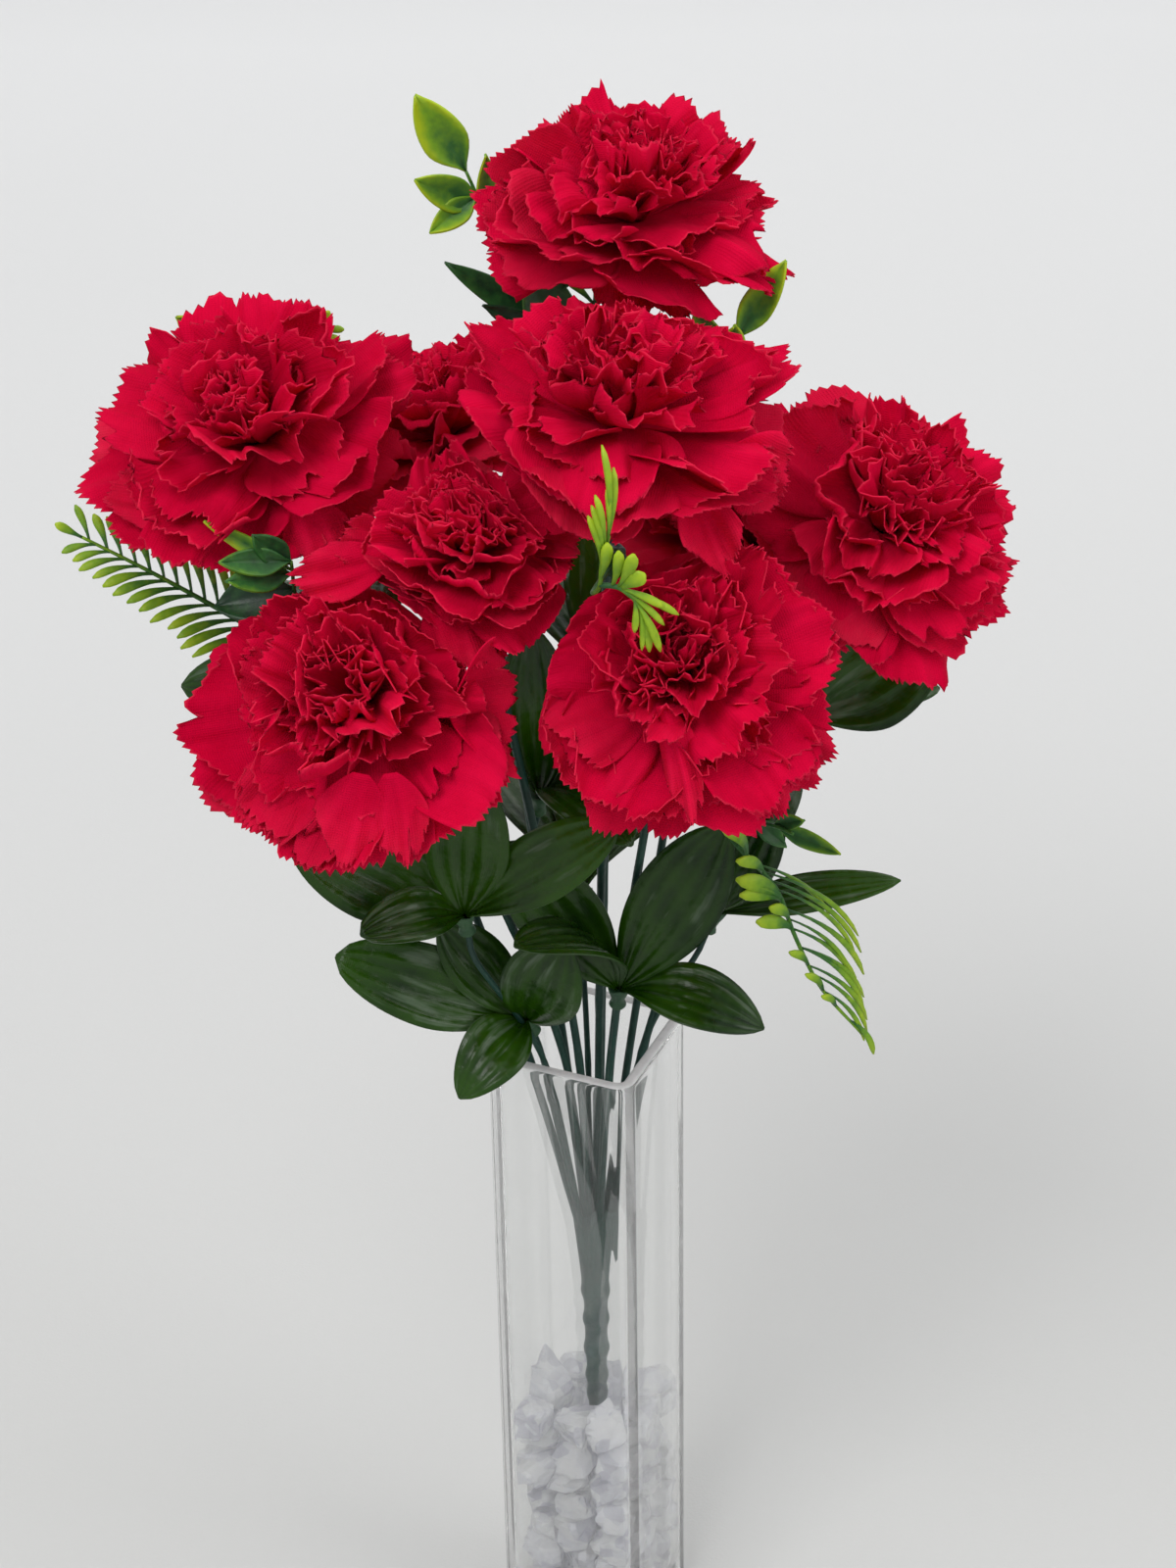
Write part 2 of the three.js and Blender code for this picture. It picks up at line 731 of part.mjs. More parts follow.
// The middle surface of a leaf from its root to its tip: an oval, arched along and folded across.
function leafSurface(root, tip, { width, arch, facing }, fold) {
  const line = tip.clone().sub(root);
  const level = new THREE.Vector3(0, -facing, 1 - facing / 2).cross(line);
  if (level.length() < 4) level.set(1, 0, 0);
  level.normalize();
  const over = line.clone().normalize().cross(level);
  const crest = root.clone().add(tip).multiplyScalar(0.5).addScaledVector(over, 2 * arch);
  const midline = new THREE.QuadraticBezierCurve3(root, crest, tip);
  return (across, along) => {
    const half = (width / 2) * Math.max(Math.sin(Math.PI * along ** 0.9) ** 0.8 || 0, 0.05);
    const base = midline.getPoint(along);
    const rise = fold * half * (Math.abs(across) - 0.3);
    return base.addScaledVector(level, half * across).addScaledVector(over, rise);
  };
}

function makeWhorl(name) {
  const { foot, leaves } = WHORLS[name];
  const start = vector(foot);
  const axis = whorlAxis(name);
  const crown = start.clone().addScaledVector(axis, COLLAR_LENGTH - 2.5);
  const pieces = [makeCollar(start, axis, COLLAR_RADIUS)];
  leaves.forEach((leaf, place) => {
    const line = vector(leaf.tip).sub(crown);
    const make = (turn, extra) => {
      const end = crown.clone().add(nudged(line, turn));
      return blade(leafSurface(crown, end, leaf, 0.25), 2, 3, LEAF_THICKNESS + extra);
    };
    const turn = clearNudge(make, "leaf " + place + " of " + name);
    pieces.push(make(turn, 0));
  });
  return fused(pieces);
}

// The direction in which a whorl's collar stands: halfway between upright and its leaves.
function whorlAxis(name) {
  const { foot, leaves } = WHORLS[name];
  const mean = new THREE.Vector3();
  leaves.forEach(({ tip }) => mean.add(vector(tip).sub(vector(foot)).normalize()));
  return mean.normalize().add(new THREE.Vector3(0, 0, 1)).normalize();
}

// ---- fern fronds ----

// The flat form of a frond: the points round it, up its right side and down its left, and the
// triangles between them. The rib is a ladder of short steps, and a leaflet is one triangle.
function frondForm(length, leaflet) {
  const edge = RIB_WIDTH / 2;
  const bare = 0.1 * length;
  const pitch = (length - bare - LEAFLET_WIDTH) / LEAFLET_PAIRS;
  const right = [[edge, 0]];
  for (let pair = 0; pair < LEAFLET_PAIRS; pair += 1) {
    const root = bare + pair * pitch;
    const share = pair / (LEAFLET_PAIRS - 1);
    const reach = leaflet * (0.35 + 0.65 * Math.sin(Math.PI * (0.2 + 0.7 * share)));
    const tip = [edge + reach * Math.cos(LEAFLET_SWEEP), root + reach * Math.sin(LEAFLET_SWEEP)];
    right.push([edge, root], tip, [edge, root + LEAFLET_WIDTH]);
  }
  right.push([0.4, length]);
  const left = right.map(([x, y]) => [-x, y]).reverse();
  const opposite = (place) => 2 * right.length - 1 - place;
  const faces = [];
  const rungs = [0];
  for (let root = 1; root + 2 < right.length; root += 3) {
    faces.push([root, root + 1, root + 2]);
    faces.push([opposite(root + 2), opposite(root + 1), opposite(root)]);
    rungs.push(root, root + 2);
  }
  rungs.push(right.length - 1);
  rungs.slice(1).forEach((high, step) => {
    const low = rungs[step];
    faces.push([low, high, opposite(high)], [low, opposite(high), opposite(low)]);
  });
  return { outline: [...right, ...left], faces };
}

// A frond bent along its rib, with its leaflets drooping to both sides.
function bentFrond(name, turn, extra) {
  const { rib, leaflet, face } = FRONDS[name];
  const root = vector(rib[0]);
  const points = rib.map((point) => root.clone().add(nudged(vector(point).sub(root), turn)));
  const line = new THREE.CatmullRomCurve3(points, false, "centripetal");
  const length = line.getLength();
  const { outline, faces } = frondForm(length, leaflet);
  const front = [];
  const back = [];
  for (const [x, y] of outline) {
    const share = THREE.MathUtils.clamp(y / length, 0, 1);
    const tangent = line.getTangentAt(share);
    const side = tangent.clone().cross(vector(face)).normalize();
    const outward = side.clone().cross(tangent).normalize();
    const droop = 0.35 * Math.max(Math.abs(x) - RIB_WIDTH / 2, 0);
    const middle = line.getPointAt(share).addScaledVector(side, x);
    middle.addScaledVector(tangent, y - share * length).addScaledVector(outward, -droop);
    const half = (NARROW_THICKNESS + extra) / 2;
    front.push(middle.clone().addScaledVector(outward, half));
    back.push(middle.clone().addScaledVector(outward, -half));
  }
  return plate(front, back, faces, outline.map((point, place) => place));
}

function startDirection(points) {
  return vector(points[1]).sub(vector(points[0])).normalize();
}

function makeFrond(name) {
  const { rib } = FRONDS[name];
  const direction = startDirection(rib);
  const foot = vector(rib[0]).addScaledVector(direction, -0.7 * COLLAR_LENGTH);
  const turn = clearNudge((way, extra) => bentFrond(name, way, extra), "frond " + name);
  return bentFrond(name, turn, 0).add(makeCollar(foot, direction, 0.85 * COLLAR_RADIUS));
}

// ---- leafy sprigs ----

function sprigPieces(name, turn, extra) {
  const { stem, leaf, face } = SPRIGS[name];
  const root = vector(stem[0]);
  const points = stem.map((point) => root.clone().add(nudged(vector(point).sub(root), turn)));
  const line = new THREE.CatmullRomCurve3(points, false, "centripetal");
  const pieces = [rod(points, 0.9 + extra / 2, 3)];
  const [length, width] = leaf;
  const leaves = 4;
  for (let place = 0; place < leaves; place += 1) {
    const share = 0.28 + (0.7 * place) / (leaves - 1);
    const tangent = line.getTangentAt(share);
    const side = tangent.clone().cross(vector(face)).normalize();
    const outward = side.clone().cross(tangent).normalize();
    const hand = place === leaves - 1 ? 0 : (place % 2) * 2 - 1;
    const start = line.getPointAt(share);
    const way = tangent.clone().addScaledVector(side, 1.1 * hand);
    way.addScaledVector(outward, 0.2).normalize();
    const across = way.clone().cross(outward).normalize();
    const size = 1 - 0.25 * Math.abs(share - 0.75);
    const surface = (u, v) => {
      const half = (width / 2) * Math.max(Math.sin(Math.PI * v ** 0.8) || 0, 0.08);
      return start
        .clone()
        .addScaledVector(way, length * size * v)
        .addScaledVector(across, half * u)
        .addScaledVector(outward, 0.35 * half * Math.abs(u) + 0.12 * length * v * v);
    };
    pieces.push(blade(surface, 2, 2, NARROW_THICKNESS + extra));
  }
  return fused(pieces);
}

function makeSprig(name) {
  const { stem } = SPRIGS[name];
  const direction = startDirection(stem);
  const foot = vector(stem[0]).addScaledVector(direction, -0.7 * COLLAR_LENGTH);
  const turn = clearNudge((way, extra) => sprigPieces(name, way, extra), "sprig " + name);
  return sprigPieces(name, turn, 0).add(makeCollar(foot, direction, 0.85 * COLLAR_RADIUS));
}

// ---- the whole bush ----

// Every socket of the bush: where its foot is and the direction in which it stands.
function socketPlaces() {
  const places = { blooms: {}, whorls: {}, fronds: {}, sprigs: {} };
  for (const [name, bloom] of Object.entries(BLOOMS)) {
    const { axis } = headFrame(bloom);
    const foot = vector(bloom.at).addScaledVector(axis, -CALYX_LENGTH);
    places.blooms[name] = { foot, axis, mouth: bloom.mouth };
  }
  for (const name of Object.keys(WHORLS)) {
    const foot = vector(WHORLS[name].foot);
    places.whorls[name] = { foot, axis: whorlAxis(name), own: foot.z < OWN_STEM_BELOW };
  }
  for (const [kind, table, line] of [["fronds", FRONDS, "rib"], ["sprigs", SPRIGS, "stem"]]) {
    for (const [name, piece] of Object.entries(table)) {
      const axis = startDirection(piece[line]);
      const foot = vector(piece[line][0]).addScaledVector(axis, -0.7 * COLLAR_LENGTH);
      places[kind][name] = { foot, axis };
    }
  }
  return places;
}

// The point of the nearest bloom stem from which a twig to a socket forks off.
function forkPoint(ways, foot) {
  let best = null;
  for (const way of ways) {
    const line = new THREE.CatmullRomCurve3(way, false, "centripetal");
    for (let share = 0.3; share < 0.92; share += 0.02) {
      const point = line.getPointAt(share);
      const drop = foot.z - point.z;
      const cost = point.distanceTo(foot) + 3 * Math.max(12 - drop, 0);
      if (!best || cost < best.cost) best = { point, cost, tangent: line.getTangentAt(share) };
    }
  }
  return best;
}

function makeStems(places) {
  const pieces = [makeTrunk()];
  const ways = Object.values(places.blooms).map(stemWay);
  Object.values(places.blooms).forEach((place, index) => {
    pieces.push(rod(withPeg(smooth(ways[index], 4), place, SOCKET_DEPTH - 1), STEM_RADIUS, 5));
  });
  for (const place of [places.whorls, places.fronds, places.sprigs].flatMap(Object.values)) {
    const stations = place.own ? stemWay(place) : smooth(twigWay(ways, place), 2);
    pieces.push(rod(withPeg(stations, place, 0.6 * COLLAR_LENGTH - 1), TWIG_RADIUS, 4));
  }
  return fused(pieces);
}

// The way of a twig from a bloom's stem to just below a socket.
function twigWay(ways, { foot, axis }) {
  const fork = forkPoint(ways, foot);
  const end = foot.clone().addScaledVector(axis, -PEG_LENGTH);
  const below = end.clone().addScaledVector(axis, -4);
  const rise = fork.point.clone().addScaledVector(fork.tangent, 5);
  return [fork.point, rise, below, end];
}

// ---- the object ----

const COLOURS = {
  glass: { color: 0xe8efee, roughness: 0.05, transparent: true, opacity: 0.35 },
  chips: { color: 0xdcdce8, roughness: 0.08, transparent: true, opacity: 0.55 },
  stem: { color: 0x27453c, roughness: 0.5 },
  calyx: { color: 0x2f5a3c, roughness: 0.5 },
  petal: { color: 0xc2142f, roughness: 0.9, side: THREE.DoubleSide },
  leaf: { color: 0x243c26, roughness: 0.45 },
  fern: { color: 0x7fae2c, roughness: 0.4 },
  sprig: { color: 0x8aa834, roughness: 0.4 },
};

function part(name, solid, colours) {
  const mesh = new THREE.Mesh(geometryOf(solid), new THREE.MeshStandardMaterial(colours));
  mesh.name = name;
  return mesh;
}

const carnations = new THREE.Group();
carnations.add(part("vase", makeVase(), COLOURS.glass));
carnations.add(part("ice_chips", makeChips(), COLOURS.chips));

const bush = new THREE.Group();
bush.rotation.z = BUSH_TURN;
carnations.add(bush);

function addToBush(name, solid, colours) {
  placed.push({ name, solid, box: solid.boundingBox() });
  bush.add(part(name, solid, colours));
}

const places = socketPlaces();
addToBush("trunk_and_stems", makeStems(places), COLOURS.stem);
for (const [name, { foot, axis }] of Object.entries(places.blooms)) {
  addToBush("calyx_" + name, makeCalyx(foot, axis), COLOURS.calyx);
}
Object.keys(BLOOMS).forEach((name, place) => {
  addToBush("bloom_" + name, makeBloom(name, 101 + 37 * place), COLOURS.petal);
});
for (const name of Object.keys(WHORLS)) addToBush("leaves_" + name, makeWhorl(name), COLOURS.leaf);
for (const name of Object.keys(FRONDS)) addToBush("fern_" + name, makeFrond(name), COLOURS.fern);
for (const name of Object.keys(SPRIGS)) addToBush("sprig_" + name, makeSprig(name), COLOURS.sprig);

export default carnations;
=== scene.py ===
# %% [markdown]
# # Silk carnations in a square glass vase
# This file dresses a bush of artificial carnations. The solids of the object are already there, as
# a fixed frame in metres: the vase's foot stands on z = 0 and its sides run along X and Y. Each
# solid is either given a better material, or hidden behind a finer piece with the same form.
# Every finer piece is a surface worked out with numpy: a rule that gives a point for each pair of
# numbers (across, along), computed for the whole grid at once.

# %% Load the frame
import math
from functools import lru_cache

import bpy
import numpy as np
from mathutils import Matrix, Vector


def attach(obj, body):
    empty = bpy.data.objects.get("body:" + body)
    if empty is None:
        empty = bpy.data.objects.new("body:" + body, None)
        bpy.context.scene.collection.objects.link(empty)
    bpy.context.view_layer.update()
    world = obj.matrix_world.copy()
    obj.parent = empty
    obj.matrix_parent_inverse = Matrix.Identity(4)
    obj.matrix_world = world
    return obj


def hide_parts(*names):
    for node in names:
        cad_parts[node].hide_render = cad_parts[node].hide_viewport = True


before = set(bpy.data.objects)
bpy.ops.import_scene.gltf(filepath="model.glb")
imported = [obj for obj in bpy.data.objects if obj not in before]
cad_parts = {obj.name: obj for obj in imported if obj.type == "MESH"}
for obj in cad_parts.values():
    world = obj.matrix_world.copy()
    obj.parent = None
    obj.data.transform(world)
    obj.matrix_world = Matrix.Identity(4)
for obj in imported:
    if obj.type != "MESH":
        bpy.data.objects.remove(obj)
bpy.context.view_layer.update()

# %% [markdown]
# ## The bush's own frame
# The bush was laid out in millimetres with its front at -Y, and then turned 24 degrees in the
# vase. Working in that same frame keeps every number readable: lengths are those that a ruler
# would show, and only the last step turns them and makes them metres.

# %% From the bush's frame to the object's
MM = 0.001
BUSH_TURN = math.radians(24)
VASE_HEIGHT, VASE_SIDE, VASE_WALL = 254, 51, 4
ABOUT_Z = np.array([
    [math.cos(BUSH_TURN), -math.sin(BUSH_TURN), 0],
    [math.sin(BUSH_TURN), math.cos(BUSH_TURN), 0],
    [0, 0, 1],
])


def in_row(points):
    """Points of the bush in millimetres, turned about Z by the bush's turn, in metres."""
    return MM * np.asarray(points, float) @ ABOUT_Z.T


def unit(vectors):
    """Each vector divided by its own length."""
    vectors = np.asarray(vectors, float)
    return vectors / np.maximum(np.linalg.norm(vectors, axis=-1, keepdims=True), 1e-9)


def linked(name, data):
    """A new object with that data, linked to the scene."""
    thing = bpy.data.objects.new(name, data)
    bpy.context.scene.collection.objects.link(thing)
    return thing


print("the bush is turned by", round(math.degrees(BUSH_TURN)), "degrees")

# %% [markdown]
# ## From arrays to a mesh
# A grid of points becomes a mesh in one go: Blender takes flat arrays with `foreach_set`, which is
# far quicker than adding vertices one by one. Faces that are marked flat keep a crisp edge, so a
# cut border of cloth doesn't smear its shading over the sheet.

# %% One piece from arrays
def mesh_of(name, points, blocks, flat_blocks=()):
    """A mesh from points (n, 3) in metres and blocks of faces (m, 3) or (m, 4), and its faces'
    corners in a row. The flat_blocks are the numbers of the blocks that stay faceted."""
    corners = np.concatenate([np.asarray(block).ravel() for block in blocks]).astype(np.int32)
    sizes = np.concatenate([np.full(len(block), np.shape(block)[1]) for block in blocks])
    smooth = np.concatenate([
        np.full(len(block), number not in flat_blocks) for number, block in enumerate(blocks)
    ])
    mesh = bpy.data.meshes.new(name)
    mesh.vertices.add(len(points))
    mesh.vertices.foreach_set("co", np.asarray(points, np.float32).ravel())
    mesh.loops.add(len(corners))
    mesh.loops.foreach_set("vertex_index", corners)
    mesh.polygons.add(len(sizes))
    mesh.polygons.foreach_set("loop_start", (np.cumsum(sizes) - sizes).astype(np.int32))
    mesh.polygons.foreach_set("use_smooth", smooth)
    mesh.update(calc_edges=True)
    return mesh, corners


def add_piece(name, points, blocks, replaced=(), uv=None, rim=None, flat_blocks=()):
    """A mesh object of the part, which stands for the replaced nodes.

    The uv is a pair of cloth coordinates per point in metres. The rim is a number per point that
    the piece's material reads: how near a cut edge it is, which side it is on, or how pale."""
    mesh, corners = mesh_of(name, points, blocks, flat_blocks)
    if uv is not None:
        layer = mesh.uv_layers.new(name="cloth")
        layer.data.foreach_set("uv", np.asarray(uv, np.float32)[corners].ravel())
    if rim is not None:
        kept = mesh.attributes.new("rim", "FLOAT", "POINT")
        kept.data.foreach_set("value", np.asarray(rim, np.float32).ravel())
    thing = linked(name, mesh)
    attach(thing, "root")
    if replaced:
        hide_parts(*replaced)
    return thing


# %% [markdown]
# ## Thin sheets
# Petals and leaves are cut from sheet. One surface would have no thickness, so its cut edge would
# vanish. Here the sheet's middle is a grid, its two faces lie half a thickness to either side
# along the grid's normal, and a strip of faces closes the border.

# %% The faces of a sheet and the sheet itself
def quads(grid):
    """The faces between the neighbours of a grid of corner numbers."""
    return np.stack([grid[:-1, :-1], grid[:-1, 1:], grid[1:, 1:], grid[1:, :-1]], -1).reshape(-1, 4)


@lru_cache(None)
def sheet_faces(rows, columns):
    """Corner numbers of a closed sheet of (rows + 1) by (columns + 1) points, twice over.

    Returns the front and back faces as one block and the border strip as another."""
    count = (rows + 1) * (columns + 1)
    grid = np.arange(count).reshape(rows + 1, columns + 1)
    front = quads(grid)
    back = front[:, ::-1] + count
    ring = np.concatenate([grid[0, :-1], grid[:-1, -1], grid[-1, :0:-1], grid[:0:-1, 0]])
    onward = np.roll(ring, -1)
    border = np.stack([onward, ring, ring + count, onward + count], -1)
    return np.concatenate([front, back]), border


def sheet_points(middle, thickness):
    """The two faces of a sheet: its middle grid plus and minus half the thickness along the
    normal, which is the cross product of the steps across and along the grid."""
    normal = unit(np.cross(np.gradient(middle, axis=1), np.gradient(middle, axis=0)))
    lifted = normal * thickness / 2
    return np.concatenate([(middle + lifted).reshape(-1, 3), (middle - lifted).reshape(-1, 3)])


class Heap:
    """Sheets and tubes gathered for one mesh: arrays of points, faces, cloth places and rims.

    A heap without cloth, such as one of tubes only, keeps no cloth places."""

    def __init__(self, cloth=True):
        self.points, self.soft, self.crisp, self.lids, self.uv, self.rim = [], [], [], [], [], []
        self.cloth = cloth
        self.count = 0

    def add(self, points, soft, crisp=None, lids=None, uv=None, rim=0.0):
        """Adds a closed shape, with its corner numbers moved past those already there."""
        self.points.append(points)
        for kept, added in ((self.soft, soft), (self.crisp, crisp), (self.lids, lids)):
            if added is not None:
                kept.append(added + self.count)
        self.uv.append(np.zeros((len(points), 2)) if uv is None else uv)
        self.rim.append(np.broadcast_to(rim, len(points)))
        self.count += len(points)

    def add_tube(self, shape, rim=0.0):
        """Adds the points, walls and lids of a closed tube."""
        points, walls, lids = shape
        self.add(points, walls, lids=lids, rim=rim)

    def add_sheet(self, middle, thickness, across, along, rim, step=0.0):
        """Adds a sheet, with its cloth places in millimetres and its rim given on the grid. The
        step is added to the rim of the sheet's second face."""
        soft, crisp = sheet_faces(middle.shape[0] - 1, middle.shape[1] - 1)
        shape = middle.shape[:2]
        places = np.stack([np.broadcast_to(across, shape), np.broadcast_to(along, shape)], -1)
        places = np.tile(MM * places.reshape(-1, 2), (2, 1))
        rims = np.broadcast_to(rim, shape).reshape(-1)
        rims = np.concatenate([rims, rims + step])
        self.add(sheet_points(middle, thickness), soft, crisp, uv=places, rim=rims)

    def piece(self, name, replaced=(), flat_blocks=(1,)):
        """The heap as one object. Its second block, of cut edges or lids, stays faceted."""
        blocks = [np.concatenate(kept) for kept in (self.soft, self.crisp, self.lids) if kept]
        thing = add_piece(
            name, in_row(np.concatenate(self.points)), blocks, replaced,
            uv=np.concatenate(self.uv) if self.cloth else None,
            rim=np.concatenate(self.rim), flat_blocks=flat_blocks,
        )
        triangles = sum((block.shape[1] - 2) * len(block) for block in blocks)
        print(f"{name:28s} {self.count:7d} points {triangles:7d} triangles")
        return thing


# %% [markdown]
# ## Rods
# Stems, twigs and ribs are round rods along a curve. The curve runs smoothly through a few
# points, as a bent wire would, and a ring of points is carried along it. The ring is turned by a
# fixed reference direction, which needs no memory of the ring before it.

# %% A smooth curve through points, and a rod along it
CURVE_SHARES = np.linspace(0, 1, 33)[:, None, None]


def smooth_line(points, steps):
    """A centripetal Catmull-Rom curve through the points, cut into equal lengths.

    Between two points the curve is the cubic whose end slopes are worked out from the neighbours,
    each weighted by the square root of its distance."""
    points = np.asarray(points, float)
    padded = np.concatenate([[2 * points[0] - points[1]], points, [2 * points[-1] - points[-2]]])
    gap = np.sqrt(np.linalg.norm(np.diff(padded, axis=0), axis=1))[:, None]
    before, start, end, after = padded[:-3], padded[1:-2], padded[2:-1], padded[3:]
    first, middle, last = gap[:-2], gap[1:-1], gap[2:]
    slope_in = (start - before) / first - (end - before) / (first + middle) + (end - start) / middle
    slope_out = (end - start) / middle - (after - start) / (middle + last) + (after - end) / last
    slope_in, slope_out = slope_in * middle, slope_out * middle
    cubic = (
        start
        + slope_in * CURVE_SHARES
        + (3 * (end - start) - 2 * slope_in - slope_out) * CURVE_SHARES**2
        + (2 * (start - end) + slope_in + slope_out) * CURVE_SHARES**3
    )
    line = np.concatenate([cubic[:-1].transpose(1, 0, 2).reshape(-1, 3), points[-1:]])
    return evenly(line, steps)


def run_along(line):
    """The distance along a line at each of its points: the running sum of its steps' lengths."""
    return np.concatenate([[0], np.cumsum(np.linalg.norm(np.diff(line, axis=0), axis=1))])


def evenly(line, steps):
    """A line cut into steps of equal length, by interpolating over the distance along it."""
    run = run_along(line)
    places = np.linspace(0, run[-1], steps + 1)
    return np.stack([np.interp(places, run, line[:, axis]) for axis in range(3)], -1)


def nearest(spots, place):
    """The one of the spots whose distance from a place is least."""
    return spots[np.linalg.norm(spots - place, axis=1).argmin()]


def rod(line, radius, sides):
    """A closed rod: at each station of the line a ring of that radius, square to the line, with a
    flat cap at both ends."""
    tangent = unit(np.gradient(line, axis=0))
    reference = np.eye(3)[np.argmin(np.abs(tangent).max(axis=0))]
    side = unit(np.cross(tangent, reference))
    other = np.cross(tangent, side)
    angle = np.linspace(0, 2 * np.pi, sides, endpoint=False)
    ring = side[:, None] * np.cos(angle)[None, :, None] + other[:, None] * np.sin(angle)[None, :, None]
    return closed_rings(line[:, None] + np.broadcast_to(radius, len(line))[:, None, None] * ring)


def closed_rings(rings):
    """Points and faces of a tube through rings (stations, sides, 3), closed by a point in the
    middle of each end."""
    stations, sides = rings.shape[:2]
    grid = np.arange(stations * sides).reshape(stations, sides)
    onward = np.roll(grid, -1, axis=1)
    walls = np.stack([grid[:-1], onward[:-1], onward[1:], grid[1:]], -1).reshape(-1, 4)
    foot, head = stations * sides, stations * sides + 1
    points = np.concatenate([rings.reshape(-1, 3), [rings[0].mean(0)], [rings[-1].mean(0)]])
    lids = np.concatenate([
        np.stack([onward[0], grid[0], np.full(sides, foot)], -1),
        np.stack([grid[-1], onward[-1], np.full(sides, head)], -1),
    ])
    return points, walls, lids


# %% [markdown]
# ## The camera
# The photograph looks down on the bush by about 30 degrees, from a little over a metre away, and
# is rolled by one degree. The camera's place was worked out from the rim of the vase, which is a
# square of known size, and its lens from how fast the vase's sides run together.

# %% Camera
PHOTO_HEIGHT, FOCAL_PIXELS, SENSOR = 1600, 3560, 36
PITCH = math.radians(30.342)
ROLL = math.radians(0.978)
CAMERA_AT = in_row([1.841, -939.153, VASE_HEIGHT + 643.396])

camera_data = bpy.data.cameras.new("camera")
camera_data.sensor_width = SENSOR
camera_data.lens = SENSOR * FOCAL_PIXELS / PHOTO_HEIGHT
camera = linked("camera", camera_data)
camera.location = CAMERA_AT
camera.rotation_euler = (math.pi / 2 - PITCH, 0, BUSH_TURN)
upright = camera.rotation_euler.to_matrix()
camera.rotation_euler = (upright @ Matrix.Rotation(-ROLL, 3, "Z")).to_euler()
bpy.context.scene.camera = camera
print("camera at", [round(value, 4) for value in CAMERA_AT], "lens", round(camera_data.lens, 1))

# %% [markdown]
# ## Floor and light
# The object stands on a seamless pale sweep: a floor that curves up into a wall far behind, so
# there is no line between them. Big soft lamps above and to both sides give the even light of a
# studio. The darker grey low down, which draws the edges of the glass, is shade painted into the
# sweep's colour, added to what the lamps leave there.

# %% Sweep
SWEEP_FRONT, SWEEP_DEPTH, SWEEP_WIDTH, SWEEP_CURVE, SWEEP_RISE = -3.0, 2.2, 9.0, 1.1, 3.2
SWEEP_DROP = 0.0002


def sweep_profile(count):
    """Distance behind the vase and height of the sweep: a straight floor, a quarter circle and a
    straight wall, as functions of the length run along them."""
    arc = SWEEP_CURVE * math.pi / 2
    run = np.linspace(SWEEP_FRONT, SWEEP_DEPTH + arc + SWEEP_RISE, count)
    turn = np.clip((run - SWEEP_DEPTH) / SWEEP_CURVE, 0, math.pi / 2)
    back = np.minimum(run, SWEEP_DEPTH) + SWEEP_CURVE * np.sin(turn)
    up = SWEEP_CURVE * (1 - np.cos(turn)) + np.maximum(run - SWEEP_DEPTH - arc, 0)
    return back, up


back, up = sweep_profile(120)
wide = np.linspace(-SWEEP_WIDTH / 2, SWEEP_WIDTH / 2, 5)
sweep_grid = np.stack(np.broadcast_arrays(wide[None, :], back[:, None], up[:, None]), -1)
sweep_points = (sweep_grid.reshape(-1, 3) - [0, 0, SWEEP_DROP]) @ ABOUT_Z.T
number = np.arange(len(sweep_points)).reshape(sweep_grid.shape[:2])
sweep_mesh, _ = mesh_of("sweep", sweep_points, [quads(number)])
sweep = linked("sweep", sweep_mesh)
print("sweep of", len(sweep_points), "points")

# %% Lamps
def add_lamp(name, at, aim, size, watts):
    """A square soft lamp at a place in the bush's frame, in metres, turned to face another."""
    lamp_data = bpy.data.lights.new(name, "AREA")
    lamp_data.size = size
    lamp_data.energy = watts
    lamp = linked(name, lamp_data)
    place = ABOUT_Z @ np.array(at, float)
    way = ABOUT_Z @ np.array(aim, float) - place
    lamp.location = place
    lamp.rotation_euler = Vector(way).to_track_quat("-Z", "Y").to_euler()


BUSH_MIDDLE = (0, 0, 0.42)
add_lamp("key", (-0.7, -1.3, 2.2), BUSH_MIDDLE, 1.0, 26)
add_lamp("fill", (1.6, -0.9, 1.3), BUSH_MIDDLE, 1.2, 10)
add_lamp("top", (0.3, 0.7, 2.4), BUSH_MIDDLE, 1.4, 14)

world = bpy.data.worlds.new("studio")
bpy.context.scene.world = world
world.use_nodes = True
background = world.node_tree.nodes["Background"].inputs
background["Strength"].default_value = 0.75
background["Color"].default_value = (0.93, 0.94, 0.95, 1)
bpy.context.scene.view_settings.view_transform = "Standard"

# %% [markdown]
# ## Materials in a few words each
# A material is a small network of nodes. A few helpers keep the recipes short: one adds a node and
# gives each of its inputs a value, and the others build what nearly every recipe needs, such as a
# noise, a mix of two colours or a bump.

# %% Helpers for materials
def wired(tree, made, inputs):
    """Gives each input, by name or number, its value: the output of another node is linked, and a
    number or a colour is set on the input itself."""
    for key, value in inputs.items():
        socket = made.inputs[key]
        if isinstance(value, bpy.types.NodeSocket):
            tree.links.new(value, socket)
        else:
            socket.default_value = (*value, 1) if socket.type == "RGBA" else value
    return made


def new_material(name):
    """A node material with its tree, its one Principled shader and its output."""
    material = bpy.data.materials.new(name)
    material.use_nodes = True
    tree = material.node_tree
    return material, tree, tree.nodes["Principled BSDF"], tree.nodes["Material Output"]


def node(tree, kind, inputs, **settings):
    """A node of that kind with its settings and its inputs."""
    made = tree.nodes.new("ShaderNode" + kind)
    for key, value in settings.items():
        setattr(made, key, value)
    return wired(tree, made, inputs)


def object_place(tree):
    """The place on the object, in metres."""
    return node(tree, "TexCoord", {}).outputs["Object"]


def cloth_place(tree):
    """The place on the cloth, in metres across and along it."""
    return node(tree, "UVMap", {}, uv_map="cloth").outputs["UV"]


def rim_number(tree):
    """The rim number that the mesh carries at each point."""
    return node(tree, "Attribute", {}, attribute_name="rim").outputs["Fac"]


